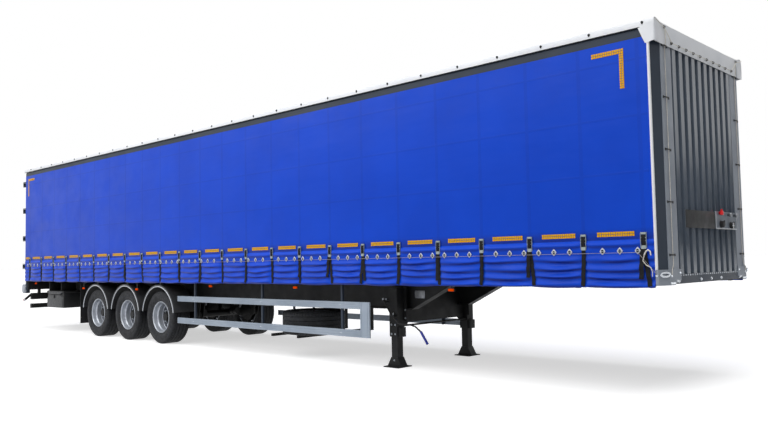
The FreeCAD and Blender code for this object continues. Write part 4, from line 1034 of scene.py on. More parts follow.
def eyelet_groups():
    """(place of the first, count) of each run of eyelets; none is set where a strap would cover it."""
    groups = []
    for k in range(eyelet_count):
        x = eyelet_first - k * EYELET_PITCH
        nearest = strap_first - round((strap_first - x) / strap_pitch) * strap_pitch
        if abs(x - nearest) < 0.040:
            continue
        if groups and abs(groups[-1][0] - groups[-1][1] * EYELET_PITCH - x) < 0.001:
            groups[-1][1] += 1
        else:
            groups.append([x, 1])
    return groups


# the plates, then black discs in their holes as painted shade
for name, part, key, slot, out, sharp in (
        ("eyelet_plates", eyelet_plate(), "pale_enamel", "galvanised", 0.016, 30),
        ("eyelet_holes", eyelet_shade_disc(), "black_plastic", None, 0.017, 38)):
    repeat(name, part, key, [row((x, side * (FLAT_FACE + out), EYELET_HEIGHT), OUTWARDS[side], count,
                                 (-EYELET_PITCH, 0.0, 0.0)) for side in SIDES for x, count in eyelet_groups()],
           sharp=sharp)

# %% The lacing cord
corner_low, corner_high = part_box("corner_plates")
CORD_RADIUS = 0.0028
cords, loose_ends = Shape(), Shape()
for side in SIDES:
    line = side * (FLAT_FACE + 0.034)
    level_z = EYELET_HEIGHT - 0.020
    last = eyelet_first - (eyelet_count - 1) * EYELET_PITCH
    cords.sweep([(last, line, level_z), (eyelet_first, line, level_z),
                 (eyelet_first + 0.012, line, level_z - 0.004),
                 (corner_low.x + 0.010, side * (corner_high.y + 0.010), 1.330),
                 (corner_low.x + 0.014, side * (corner_high.y + 0.006), 1.310)],
                circle(CORD_RADIUS, 6), side=(0, side, 0))
    # the spare end, doubled back beside the last strap
    for radius, points in ((0.008, ((0.010, 1.306, 1.520), (0.030, 1.308, 1.560), (0.055, 1.308, 1.578),
                                    (0.078, 1.308, 1.560), (0.082, 1.307, 1.520))),
                           (0.005, ((0.012, 1.306, 1.520), (-0.004, 1.309, 1.465), (0.030, 1.309, 1.420),
                                    (0.076, 1.306, 1.395), (0.092, 1.303, 1.350), (0.088, 1.298, 1.300)))):
        loose_ends.sweep([(strap_first + x, side * y, z) for x, y, z in points], circle(radius, 6),
                         side=(0, side, 0))
build("lacing_cords", cords, "worn_cord", sharp=70)
build("lacing_cord_ends", loose_ends, "pale_cord", sharp=70)
print("eyelets a side", eyelet_count)

# %% [markdown]
# ## The roof
# The roof is a sliding tarpaulin over cross bows. Along each side it rises into a roll and turns down as a
# short strip, at the front it folds over the header as a flap that is laced on small black clips, and a grey
# corner piece wraps each front post.

# %% Roof cover
roof_low, roof_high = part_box("roof_cover")
BOW_FIRST, BOW_PITCH = -7.40, 1.85
FLAP_FOOT = 3.745


def roof_section():
    """Half of the cover's section as (distance from the middle, height), from the hem up."""
    top = roof_high.z
    side = roof_high.y
    return [(side, 3.922), (side + 0.001, 3.945), (side, top - 0.026), (side - 0.006, top - 0.010),
            (side - 0.022, top - 0.001), (side - 0.050, top - 0.001), (side - 0.090, top - 0.008),
            (side - 0.140, top - 0.020), (side - 0.190, top - 0.026)] + \
           [(side - 0.190 - k * 0.182, top - 0.026) for k in range(1, 7)]


def roof_cover():
    """The whole cover as one open sheet that dips a little between the bows."""
    half = roof_section()
    across = [(-y, z) for y, z in half] + [(y, z) for y, z in reversed(half)][1:]
    front = roof_high.x - 0.004
    rear = roof_low.x + 0.004
    count = 150
    rows = []
    for k in range(count + 1):
        x = front + (rear - front) * k / count
        wave = math.cos(2 * math.pi * (x - BOW_FIRST) / BOW_PITCH)
        line = []
        for y, z in across:
            inner = max(0.0, 1 - abs(y) / 1.09)
            dip = 0.010 * inner * (1 - wave) / 2
            edge = 0.0025 * math.sin(x * 9.0 + y * 3) if abs(y) > 1.2 else 0.0
            line.append((x, y, z - dip + edge))
        rows.append(line)
    shape = Shape().grid(rows)
    # front flap: turned down over the header, with its lower part laced
    flap_rows = []
    for z in (3.992, 3.960, 3.920, 3.880, 3.845, 3.815, 3.780, FLAP_FOOT):
        line = []
        for y, top in across:
            level_z = min(top - 0.004, z)
            puff = 0.006 * math.sin(math.pi * (3.99 - level_z) / 0.25) * (0.6 + 0.4 * math.sin(y * 5.5))
            line.append((front + 0.001 + max(0.0, puff), y, level_z))
        flap_rows.append(line[::-1])
    shape.grid(flap_rows)
    tail_rows = [[(rear - 0.001, y, min(top - 0.004, z)) for y, top in across] for z in (3.992, 3.95, 3.922)]
    shape.grid(tail_rows)
    piece = build("roof_cover_cloth", shape, "roof_white", replaced=("roof_cover",), open_sheet=True, sharp=50)


roof_cover()


# %% Roof fittings
def clip_unit():
    """A black lacing clip facing +X: a plate and a turned hook."""
    shape = Shape().box((0.0, -0.011, -0.016), (0.004, 0.011, 0.016))
    return shape.sweep([(0.004, 0, -0.010), (0.014, 0, -0.006), (0.015, 0, 0.006), (0.006, 0, 0.010)],
                       flat(0.014, 0.003), side=(1, 0, 0))


CLIP_HEIGHT = 3.790
CLIP_COUNT = 10
END_CLIP_Y = 1.06
clip_first = -0.89
clip_step = -2 * clip_first / (CLIP_COUNT - 1)
front_face = roof_high.x + 0.004
repeat("roof_lacing_clips", clip_unit(), "black_plastic",
       [row((front_face, clip_first, CLIP_HEIGHT), STILL, CLIP_COUNT, (0.0, clip_step, 0.0)),
        row((front_face, -END_CLIP_Y, 3.935), STILL, 2, (0.0, 2 * END_CLIP_Y, 0.0))])


def roller_unit():
    """A small black roller on the cover's side strip, facing +Y."""
    shape = Shape()
    shape.turn([(0.0, 0.0), (0.014, 0.0), (0.014, 0.006), (0.009, 0.011), (0.0, 0.011)], 12)
    return shape.box((-0.006, 0.0, -0.020), (0.006, 0.005, 0.0))


ROLLER_FIRST, ROLLER_PITCH, ROLLER_COUNT = 8.165, 0.615, 27
repeat("roof_rollers", roller_unit(), "black_plastic",
       [row((ROLLER_FIRST, side * (roof_high.y + 0.002), 3.968), OUTWARDS[side], ROLLER_COUNT,
            (-ROLLER_PITCH, 0.0, 0.0)) for side in SIDES])

hem_cords = Shape()
for side in SIDES:
    # the hem's keder, a thin dark cord under the side strip
    hem_cords.sweep([(roof_low.x + 0.01, side * (roof_high.y - 0.003), 3.922),
                     (roof_high.x - 0.16, side * (roof_high.y - 0.003), 3.922)], circle(0.005, 6))
build("roof_hem_cords", hem_cords, "black_rubber", sharp=70)

CORD_Y = 1.035                      # the tilt cord's distance from the middle, down the front strips
FLAP_CORD_RADIUS = 0.0035
zigzag = [(front_face + 0.010, clip_first + k * clip_step / 2, CLIP_HEIGHT + (0.002 if k % 2 else -0.006))
          for k in range(2 * CLIP_COUNT - 1)]
flap_cord = Shape().sweep(zigzag, circle(FLAP_CORD_RADIUS, 6), side=(1, 0, 0))
for side in SIDES:
    flap_cord.sweep([(front_face + 0.010, side * abs(clip_first), CLIP_HEIGHT),
                     (front_face + 0.009, side * END_CLIP_Y, 3.925), (front_face + 0.006, side * 1.262, 3.975)],
                    circle(FLAP_CORD_RADIUS, 6), side=(1, 0, 0))
build("roof_flap_cord", flap_cord, "pale_cord", sharp=70)


# %% Corner pieces of the roof
def corner_flaps():
    """A grey-white piece of cloth wrapped round the top of each front corner."""
    shape = Shape()
    front = roof_high.x + 0.003
    side_face = roof_high.y + 0.003
    # each column of the wrap, from the side, round the corner, on to the front:
    # x, y, foot, top, and how far the foot leans forward
    columns = [(front - 0.190, side_face - 0.001, 3.742, 3.928, 0.080),
               (front - 0.110, side_face, 3.744, 3.940, 0.030),
               (front - 0.030, side_face + 0.001, 3.752, 3.958, 0),
               (front - 0.008, side_face - 0.004, 3.754, 3.962, 0),
               (front + 0.001, side_face - 0.022, 3.752, 3.958, 0),
               (front + 0.003, side_face - 0.100, 3.742, 3.925, 0),
               (front + 0.002, side_face - 0.190, 3.738, 3.880, 0)]
    for side in SIDES:
        rows = []
        for k in range(7):
            share = k / 6
            rows.append([(x + lean * share, side * (y + 0.003 * math.sin(share * 5 + x * 30)),
                          top + (low - top) * share) for x, y, low, top, lean in columns][::side])
        shape.grid(rows)
    return shape


corner_piece = build("roof_corner_cloths", corner_flaps(), "roof_white", open_sheet=True, sharp=180)

# %% [markdown]
# ## The front wall
# The wall is one pressed steel sheet with ten ridges, already right in the frame. Round it go the pale strips
# with the tilt cord and its clips, the white pole in the curtain's front edge, the corner plates' fittings, and
# the panel where the tractor's air and electric lines plug in.

# %% Poles, strips and cords on the front
frame_high, wall_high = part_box("front_frame")[1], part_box("front_wall")[1]
strip_low, strip_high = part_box("front_strips")
STRIP_INNER = 0.868
poles = Shape()
for side in SIDES:
    poles.sweep([(curtain_high.x + 0.012, side * 1.268, corner_high.z - 0.01),
                 (curtain_high.x + 0.012, side * 1.268, 3.772)], circle(0.0155, 12), side=(0, side, 0))
build("curtain_front_poles", poles, "white_sleeve", sharp=60)

strips = Shape()
GROOVE_HALF = 0.026
back, face = strip_low.x, strip_high.x
strip_outline = [(STRIP_INNER, back), (STRIP_INNER, face), (STRIP_INNER + 0.012, face + 0.002),
                 (CORD_Y - GROOVE_HALF - 0.004, face + 0.002), (CORD_Y - GROOVE_HALF, face - 0.004),
                 (CORD_Y + GROOVE_HALF, face - 0.004), (CORD_Y + GROOVE_HALF + 0.004, face + 0.002),
                 (strip_high.y, face + 0.001), (strip_high.y, back)]
for side in SIDES:
    strips.slab([(x, side * y) for y, x in strip_outline], "z", strip_low.z, strip_high.z)
build("front_lacing_strips", strips, "strip_grey", replaced=("front_strips",))

CLAMP_TOP, CLAMP_PITCH, CLAMP_COUNT = 3.74, 0.555, 5


def clamp_unit():
    """A wide black staple lying across the strip, facing +X."""
    shape = Shape()
    shape.sweep([(0.0, -0.062, 0.0), (0.006, -0.050, 0.0), (0.012, -0.030, 0.0), (0.013, 0.030, 0.0),
                 (0.006, 0.050, 0.0), (0.0, 0.062, 0.0)], flat(0.013, 0.004), side=(1, 0, 0))
    shape.box((0.0, -0.074, -0.013), (0.005, -0.052, 0.013))
    return shape.box((0.0, 0.052, -0.013), (0.005, 0.074, 0.013))


repeat("front_cord_clamps", clamp_unit(), "black_plastic",
       [row((face + 0.002, side * CORD_Y, CLAMP_TOP), STILL, CLAMP_COUNT, (0.0, 0.0, -CLAMP_PITCH))
        for side in SIDES])
front_cords = Shape()
plate_face = corner_high.x
for side in SIDES:
    front_cords.sweep([(front_face + 0.006, side * (CORD_Y + 0.010), 3.925),
                       (front_face + 0.004, side * (CORD_Y + 0.002), 3.770), (face + 0.009, side * CORD_Y, 3.73),
                       (face + 0.009, side * CORD_Y, 1.52), (face + 0.014, side * (CORD_Y + 0.005), 1.42),
                       (plate_face + 0.006, side * (CORD_Y + 0.055), 1.36),
                       (plate_face + 0.006, side * 1.100, 1.302)], circle(0.004, 6), side=(1, 0, 0))
build("front_cords", front_cords, "pale_cord", sharp=70)

# %% Corner plate fittings
# the slanting face of a corner plate runs from its side to its front: a start, a direction and a way out
SLANT_START = Vector((8.234, 1.284, 0.0))
SLANT_END = Vector((plate_face, 1.134, 0.0))
slant_along = (SLANT_END - SLANT_START).normalized()
slant_out = Vector((-slant_along.y, slant_along.x, 0.0))


def on_slant(side, along, height, off):
    """A point on the slanting face, so far along it, so high, and so far off it."""
    spot = SLANT_START + slant_along * along + slant_out * off
    return (spot.x, side * spot.y, height)


loops = Shape()
LOOP_STEPS = 20
for side in SIDES:
    for k in range(2):
        height = 1.312 + 0.010 * k
        path = []
        for step in range(LOOP_STEPS):
            angle = 2 * math.pi * step / LOOP_STEPS
            path.append(on_slant(side, 0.085 + 0.062 * math.cos(angle), height + 0.020 * math.sin(angle),
                                 0.010 + 0.006 * k))
        loops.sweep(path, circle(0.006, 8), closed=True, side=(1, 0, 0))
    loops.add([on_slant(side, along, height, off) for along in (0.070, 0.100) for height in (1.288, 1.304)
               for off in (0.0, 0.012)],
              [(0, 1, 3, 2), (4, 6, 7, 5), (0, 4, 5, 1), (2, 3, 7, 6), (0, 2, 6, 4), (1, 5, 7, 3)])
build("corner_plate_loops", loops, "bright_zinc")


def bolts(name, width, high, rows, key="bright_zinc", body="root"):
    """Hexagon bolt heads on washers, in rows. The one drawn faces +Y."""
    washer = [(0.0, 0.0), (width * 0.72, 0.0), (width * 0.72, high * 0.25), (0.0, high * 0.25)]
    head = [(0.0, high * 0.2), (width / 2, high * 0.2), (width / 2, high * 0.85), (width * 0.42, high),
            (0.0, high)]
    repeat(name, Shape().turn(washer, 12).turn(head, 6), key, rows, body=body)


plate_bolts = []
for side in SIDES:
    plate_bolts += [row((plate_face, side * 1.100, 1.300), TO_FRONT),
                    row((plate_face, side * 0.880, 1.330), TO_FRONT),
                    row((plate_face, side * 1.020, 1.225), TO_FRONT, 4, (0.0, side * 0.030, 0.0)),
                    row((8.219, side * 1.284, 1.308), OUTWARDS[side])]
bolts("corner_plate_bolts", 0.020, 0.012, plate_bolts)
bolts("front_sill_bolts", 0.026, 0.014,
      [row((frame_high.x, -0.300, 1.247), TO_FRONT, 3, (0.0, 0.300, 0.0))]
      + [row((frame_high.x, side * 0.900, 1.242), TO_FRONT, 3, (0.0, side * 0.030, 0.004)) for side in SIDES])
bolts("front_sill_studs", 0.012, 0.006, [row((frame_high.x, -0.837, 1.303), TO_FRONT, 28, (0.0, 0.062, 0.0))])

# %% Service panel
# the panel proper is the half on the left; a plain black band carries on across the wall beside it
panel_low, panel_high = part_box("service_panel")
PANEL_MIDDLE = 0.170
panel_trim = Shape()
panel_trim.box((panel_high.x, PANEL_MIDDLE, panel_low.z),
               (panel_high.x + 0.006, PANEL_MIDDLE + 0.010, panel_high.z))
panel_trim.box((panel_high.x, panel_high.y - 0.010, panel_low.z),
               (panel_high.x + 0.006, panel_high.y, panel_high.z))
panel_trim.box((panel_high.x, PANEL_MIDDLE + 0.010, panel_low.z),
               (panel_high.x + 0.008, panel_high.y - 0.010, panel_low.z + 0.012))
build("service_panel_edges", panel_trim, "pale_enamel", bevel=0.002)
band_face = wall_high.x + 0.008
black_band = Shape().box((band_face - 0.001, panel_low.y - 0.002, panel_low.z - 0.001),
                         (band_face + 0.002, PANEL_MIDDLE - 0.002, panel_high.z - 0.009))
build("service_band_cover", black_band, "black_plastic", bevel=0.001)


def headed(profile, sides):
    """A profile of (radius, distance out) turned round the X axis."""
    step = 2 * math.pi / sides
    rows = [[(x, radius * math.cos(k * step), radius * math.sin(k * step)) for k in range(sides)]
            for radius, x in profile]
    return Shape().grid(rows, close_columns=True)


def coupling_head():
    """An air coupling facing +X: body, turned-over claw and seal face."""
    shape = headed([(0.0, 0.049), (0.012, 0.051), (0.020, 0.049), (0.024, 0.044),
                    (0.026, 0.034), (0.024, 0.022), (0.016, 0.014), (0.014, 0.0)], 20)
    return shape.box((0.026, -0.032, -0.012), (0.044, 0.032, 0.012))


def red_cap():
    """The supply coupling's red cover: a cap with a three-cornered grip."""
    shape = headed([(0.0, 0.049), (0.018, 0.049), (0.026, 0.042), (0.027, 0.020), (0.022, 0.010),
                    (0.016, 0.0)], 18)
    return shape.slab([(-0.044, -0.020), (0.044, -0.020), (0.0, 0.048)], "x", 0.020, 0.040)


def socket_head():
    """A round electric socket with its hinged lid, facing +X."""
    shape = headed([(0.0, 0.040), (0.030, 0.040), (0.036, 0.036), (0.038, 0.030),
                    (0.038, 0.004), (0.046, 0.003), (0.046, 0.0)], 24)
    return shape.box((0.036, -0.012, 0.020), (0.046, 0.012, 0.046))


for name, part, key, slot, places in (
        ("air_control_coupling", coupling_head(), "coupling_metal", None, ((0.56, 1.985), (0.76, 1.985))),
        ("red_supply_cap", red_cap(), "red_cap", "lamp_red", ((0.29, 2.000),)),
        ("electric_sockets", socket_head(), "black_plastic", None, ((0.335, 1.870), (0.650, 1.862)))):
    repeat(name, part, key, [row((panel_high.x, y, z), STILL) for y, z in places], bevel=0.001)
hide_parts("service_couplings")
# painted highlight: two white bars on a socket's lid stand for the light along its edge
lid = Shape().box((panel_high.x + 0.040, 0.612, 1.826), (panel_high.x + 0.046, 0.624, 1.892))
lid.box((panel_high.x + 0.040, 0.596, 1.852), (panel_high.x + 0.046, 0.640, 1.864))
build("socket_lid_latch", lid, "white_sleeve", bevel=0.001)
print("pieces", len(made))


# %% [markdown]
# ## Wheels
# Six wide single wheels, three a side, all alike. A wheel's section is turned round its axle: the tyre with its
# five ribs and notched shoulders, and the deep steel rim, whose dished disc has ten hand holes. The disc is
# built as ten sectors, each with one hole in it. Ten nuts sit in a ring round the hub, and a brake drum fills
# the back of the rim. The spare is the same wheel laid flat under the frame.

# %% Wheel places
AXLE_COUNT = 3
WHEEL_Z = 0.512
wheel_spots = []
for side, label in ((1, "left"), (-1, "right")):
    for axle in range(AXLE_COUNT):
        low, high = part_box(f"rim_{label}_{axle + 1}")
        wheel_spots.append((side, f"{label}_{axle + 1}",
                            Vector(((low.x + high.x) / 2, (low.y + high.y) / 2, WHEEL_Z))))
axle_places = [spot.x for side, name, spot in wheel_spots if side > 0]


def carried(shape, matrix):
    """The same shape moved by a matrix."""
    return Shape().add([matrix @ Vector(corner) for corner in shape.corners], shape.faces)


def outwards(shape, side, spot):
    """A wheel part drawn round the origin and facing +Y, set in its wheel and facing away from the trailer."""
    corners = [(spot.x + x, spot.y + side * y, spot.z + z) for x, y, z in shape.corners]
    return Shape().add(corners, shape.faces if side > 0 else [face[::-1] for face in shape.faces])


# %% Tyres
TREAD_RADIUS = 0.512
GROOVES = (-0.105, -0.038, 0.038, 0.105)
GROOVE_WIDE, GROOVE_DEEP = 0.011, 0.012
NOTCHES = 64
SIDEWALL = [(0.286, 0.150), (0.300, 0.151), (0.304, 0.156), (0.318, 0.166), (0.322, 0.170), (0.326, 0.168),
            (0.346, 0.1785), (0.372, 0.187), (0.376, 0.1895), (0.380, 0.188), (0.406, 0.1925), (0.440, 0.191),
            (0.444, 0.1885), (0.448, 0.190), (0.470, 0.1865), (0.486, 0.179)]
SHOULDER = [(0.494, 0.172), (0.502, 0.1665), (0.509, 0.156), (0.5118, 0.146)]


def tyre_shape():
    """One tyre facing +Y: sidewalls with moulded rings, notched shoulders and grooved tread."""
    tread = []
    for place in GROOVES[::-1]:
        for edge, depth in ((0.5, 0.0), (0.35, 1.0), (-0.35, 1.0), (-0.5, 0.0)):
            tread.append((TREAD_RADIUS - GROOVE_DEEP * depth, place + GROOVE_WIDE * edge))
    rows = []
    step = 2 * math.pi / NOTCHES
    for k in range(NOTCHES):
        for share, cut in ((0.0, 0.0), (0.58, 0.0), (0.64, 1.0), (0.94, 1.0)):
            angle = (k + share) * step
            wander = 0.0025 * math.sin(angle * NOTCHES / 2)
            notched = [(radius - 0.008 * cut * (n > 0), out - 0.006 * cut) for n, (radius, out) in
                       enumerate(SHOULDER)]
            section = SIDEWALL + notched + [(radius, out + wander) for radius, out in tread]
            section += [(radius, -out) for radius, out in reversed(SIDEWALL + notched)]
            rows.append([(radius * math.cos(angle), out, radius * math.sin(angle)) for radius, out in section])
    return Shape().grid(rows, close_rows=True)


tyre = tyre_shape()
for side, name, spot in wheel_spots:
    build(f"tyre_tread_{name}", outwards(tyre, side, spot), "tyre_rubber", body=f"wheel_{name}",
          replaced=(f"tyre_{name}",), sharp=30)

# %% Rims
HOLES = 10
HOLE_RING, HOLE_RADIUS = 0.212, 0.024
DISC_INNER, DISC_OUTER = 0.150, 0.2625
DISC_SKIN = 0.012


def disc_out(radius):
    """How far out the disc's face stands at a radius: it is dished towards the middle."""
    return -0.046 + 0.018 * ((radius - 0.17) / (0.262 - 0.17)) ** 2 if radius > 0.17 else -0.046


def disc_sector(shape, middle, face):
    """One sector's sheet with its hole, drawn as quads between the hole's edge and the sector's border."""
    half = math.pi / HOLES
    corners_u = [(DISC_INNER, -half), (DISC_OUTER, -half), (DISC_OUTER, half), (DISC_INNER, half)]
    border = []
    for (r0, a0), (r1, a1) in zip(corners_u, corners_u[1:] + corners_u[:1]):
        for k in range(6):
            border.append((r0 + (r1 - r0) * k / 6, a0 + (a1 - a0) * k / 6))
    rings = [[], []]
    for radius, angle in border:
        spot = Vector((radius * math.cos(angle), radius * math.sin(angle)))
        way = (spot - Vector((HOLE_RING, 0.0))).normalized()
        rings[0].append(Vector((HOLE_RING, 0.0)) + way * HOLE_RADIUS)
        rings[1].append(spot)
    turned_by = Matrix.Rotation(middle, 2)
    rows = []
    for ring in rings:
        line = []
        for spot in ring:
            x, z = turned_by @ spot
            line.append((x, face + disc_out(spot.length), z))
        rows.append(line)
    return shape.grid(rows, close_columns=True)


def rim_shapes():
    """One rim facing +Y: (flanges and stepped barrel, holed disc with its front and back)."""
    front = [(0.2855, 0.150), (0.3015, 0.151), (0.3035, 0.158), (0.3000, 0.1645), (0.2930, 0.1650),
             (0.2880, 0.160), (0.2850, 0.150), (0.2820, 0.140), (0.2785, 0.088), (0.2720, 0.074),
             (0.2640, 0.064), (0.2620, 0.052), (0.2620, -0.016), (0.2595, -0.026), (0.2540, -0.0305)]
    behind = [(0.2620, -0.046), (0.2620, -0.120), (0.2780, -0.148), (0.2930, -0.1640), (0.3015, -0.1640),
              (0.3015, -0.151), (0.2855, -0.150)]
    barrel, disc = Shape(), Shape()
    barrel.turn(front, 72)
    barrel.turn(behind, 72)
    for k in range(HOLES):
        middle = 2 * math.pi * (k + 0.5) / HOLES
        for face in (0.0, -DISC_SKIN):
            disc_sector(disc, middle, face)
        x, z = HOLE_RING * math.cos(middle), HOLE_RING * math.sin(middle)
        disc.grid([[(x + across, disc_out(HOLE_RING) + face, z + along)
                    for across, along in circle(HOLE_RADIUS, 24)] for face in (0.0, -DISC_SKIN)],
                  close_columns=True)
    return barrel, disc


def hub_shape():
    """The hub facing +Y: flange, barrel, cap with its screwed ring, and the brake drum behind the disc."""
    shape = Shape()
    shape.turn([(0.152, -0.046), (0.150, -0.036), (0.144, -0.032), (0.108, -0.030), (0.100, -0.022),
                (0.092, 0.030), (0.086, 0.046), (0.084, 0.050), (0.076, 0.052), (0.074, 0.066),
                (0.069, 0.071), (0.0, 0.072)], 48)
    return shape.turn([(0.141, -0.060), (0.198, -0.064), (0.208, -0.075), (0.208, -0.100), (0.211, -0.104),
                       (0.211, -0.182), (0.206, -0.187), (0.196, -0.187), (0.196, -0.090), (0.141, -0.074)],
                      48, closed=True)


def nut_shape(way):
    """A wheel nut with its captive washer, facing +Y or, with way -1, facing -Y."""
    shape = Shape()
    for profile, segments in ((((0.024, 0.0), (0.024, 0.004), (0.018, 0.005)), 16),
                              (((0.0185, 0.004), (0.0185, 0.026), (0.016, 0.029), (0.012, 0.029)), 6),
                              (((0.011, 0.024), (0.011, 0.038), (0.009, 0.040), (0.0, 0.040)), 12)):
        shape.turn([(radius, way * out) for radius, out in profile], segments)
    return shape


NUT_RING = 0.1675
(rim, disc), hub = rim_shapes(), hub_shape()
for side, name, spot in wheel_spots:
    body = f"wheel_{name}"
    build(f"rim_dish_{name}", outwards(rim, side, spot), "wheel_steel", body=body, replaced=(f"rim_{name}",),
          sharp=35)
    build(f"wheel_disc_{name}", outwards(disc, side, spot), "wheel_disc", body=body, sharp=35)
    build(f"hub_and_drum_{name}", outwards(hub, side, spot), "chassis_black", body=body)
    nut_seat = spot + Vector((0.0, side * disc_out(NUT_RING), 0.0))
    repeat(f"wheel_nuts_{name}", nut_shape(side), "bright_zinc",
           [{"Count": HOLES, "Radius": NUT_RING, "Centre": nut_seat}], RING, body)

shields = Shape()
for side, name, spot in wheel_spots:
    plate = Shape().turn([(0.066, -0.176), (0.190, -0.176), (0.190, -0.180), (0.066, -0.180)], 36, closed=True)
    shields.join(outwards(plate, side, spot))
build("brake_shields", shields, "chassis_black")

# %% Spare wheel
spare_low, spare_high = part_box("spare_tyre")
spare_place = Matrix.Translation((spare_low + spare_high) / 2) @ Matrix.Rotation(math.pi / 2, 4, "X")
build("spare_tyre_tread", carried(tyre, spare_place), "tyre_rubber", replaced=("spare_tyre",), sharp=30)
build("spare_rim_dish", carried(rim, spare_place), "wheel_steel", replaced=("spare_rim",), sharp=35)
build("spare_wheel_disc", carried(disc, spare_place), "wheel_disc", sharp=35)

# %% [markdown]
# ## Running gear
# Over each wheel a black guard carries a pale trim just inside its rolled lip. Air springs are rubber sleeves
# rolled over pistons. Big bolts hold the trailing arms in their hangers, and a damper leans from each arm up to
# its hanger.

# %% Mudguard trims
TRIM_RADIUS, TRIM_CENTRE_Z = 0.574, 0.528
LIP_RADIUS = 0.595
TRIM_REACH = math.radians(81.3)
TRIM_STEPS = 20
arc = [TRIM_REACH * (k / TRIM_STEPS - 1) for k in range(2 * TRIM_STEPS + 1)]
guards_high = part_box("mudguards")[1]
trims, lips = Shape(), Shape()
for side in SIDES:
    for x in axle_places:
        for shape, radius, wide, high in ((trims, TRIM_RADIUS, 0.009, 0.008), (lips, LIP_RADIUS, 0.006, 0.006)):
            section = [(-wide, 0.0), (wide, 0.0), (wide, high / 2), (wide / 2, high), (-wide / 2, high),
                       (-wide, high / 2)]
            shape.sweep([(x + radius * math.sin(a), side * (guards_high.y - 0.001),
                          TRIM_CENTRE_Z + radius * math.cos(a)) for a in arc], section, side=(0, side, 0))
build("mudguard_trims", trims, "pale_enamel", sharp=50)
build("mudguard_lips", lips, "lip_grey", sharp=50)

# %% Air springs, dampers and pivot bolts
BELLOWS = [(0.060, 0.070), (0.098, 0.070), (0.104, 0.078), (0.122, 0.090), (0.131, 0.105), (0.134, 0.130),
           (0.134, 0.215), (0.130, 0.245), (0.121, 0.268), (0.116, 0.290), (0.112, 0.298)]
PISTON = [(0.0, 0.0), (0.088, 0.0), (0.090, 0.004), (0.084, 0.070), (0.060, 0.074)]
TOP_PLATE = [(0.0, 0.296), (0.118, 0.296), (0.118, 0.310), (0.0, 0.310)]
SPRING_BACK, SPRING_Y, SPRING_SEAT = 0.390, 0.650, 0.500
rubber, steel = Shape(), Shape()
for side in SIDES:
    for x in axle_places:
        foot = Matrix.Translation((x - SPRING_BACK, side * SPRING_Y, SPRING_SEAT))
        for target, profile in ((rubber, BELLOWS), (steel, PISTON), (steel, TOP_PLATE)):
            target.join(carried(Shape().turn(profile, 36), foot @ Matrix.Rotation(math.pi / 2, 4, "X")))
build("air_spring_bellows", rubber, "black_rubber", replaced=("air_springs",))
build("air_spring_pistons", steel, "chassis_black")

DAMPER_Y = 0.535
dampers = Shape()
for side in SIDES:
    for x in axle_places:
        foot, head = Vector((x - 0.130, side * DAMPER_Y, 0.520)), Vector((x + 0.300, side * DAMPER_Y, 0.860))
        way = (head - foot).normalized()
        dampers.sweep([foot, foot + way * 0.24], circle(0.030, 16))
        dampers.sweep([foot + way * 0.16, head - way * 0.04], circle(0.036, 16))
        for spot in (foot, head):
            dampers.sweep([spot - Vector((0, side * 0.030, 0)), spot + Vector((0, side * 0.055, 0))],
                          circle(0.022, 12), side=(1, 0, 0))
build("dampers", dampers, "chassis_black", sharp=50)

PIVOT_AHEAD, PIVOT_Z = 0.500, 0.540
hanger_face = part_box("hangers")[1].y
bolts("hanger_pivot_bolts", 0.052, 0.026,
      [row((axle_places[0] + PIVOT_AHEAD, side * hanger_face, PIVOT_Z), OUTWARDS[side], AXLE_COUNT,
           (axle_places[1] - axle_places[0], 0.0, 0.0)) for side in SIDES])
print("pieces", len(made))

# %% [markdown]
# ## Along the chassis
# The side guards are extruded aluminium, so they are drawn as a section with grooves. Beside them come the
# small side lamps, the air tanks with their domed ends, and the moulded tool box with its raised front panel.

# %% Side guards
guard_low, guard_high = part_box("side_guards")
RAIL_DEEP, RAIL_HIGH, LOWER_HIGH = 0.025, 0.103, 0.105
POST_LONG = 0.190
UPRIGHT_PLACES = (-0.570, 1.440, 3.365)


def grooved(low, high, face):
    """An extrusion's section as (place across, distance out): rounded edges and two grooves."""
    back = face - RAIL_DEEP
    points = [(low, back), (low, face - 0.005), (low + 0.005, face)]
    for middle in (low + 0.034, high - 0.034):
        points += [(middle - 0.004, face), (middle - 0.002, face - 0.004), (middle + 0.002, face - 0.004),
                   (middle + 0.004, face)]
    return points + [(high - 0.005, face), (high, face - 0.005), (high, back)]


guards, caps = Shape(), Shape()
post_rear = guard_high.x - POST_LONG
for side in SIDES:
    for low, high in ((guard_high.z - RAIL_HIGH, guard_high.z), (guard_low.z, guard_low.z + LOWER_HIGH)):
        guards.slab([(side * out, z) for z, out in grooved(low, high, guard_high.y)], "x", guard_low.x,
                    post_rear)
        caps.box((guard_low.x - 0.006, side * (guard_high.y - RAIL_DEEP), low),
                 (guard_low.x, side * guard_high.y, high))
    guards.slab([(x, side * out) for x, out in grooved(post_rear, guard_high.x, guard_high.y)], "z",
                guard_low.z, guard_high.z)
    caps.box((post_rear + 0.004, side * (guard_high.y - RAIL_DEEP + 0.002), guard_high.z),
             (guard_high.x - 0.004, side * (guard_high.y - 0.003), guard_high.z + 0.005))
build("side_guard_profiles", guards, "aluminium_profile", replaced=("side_guards",), sharp=25)
build("side_guard_caps", caps, "black_plastic")
bolts("side_guard_bolts", 0.010, 0.005,
      [row((x - 0.010, side * guard_high.y, z), OUTWARDS[side], 2, (0.020, 0.0, 0.0))
       for side in SIDES for x in UPRIGHT_PLACES for z in (0.881, 0.478)])

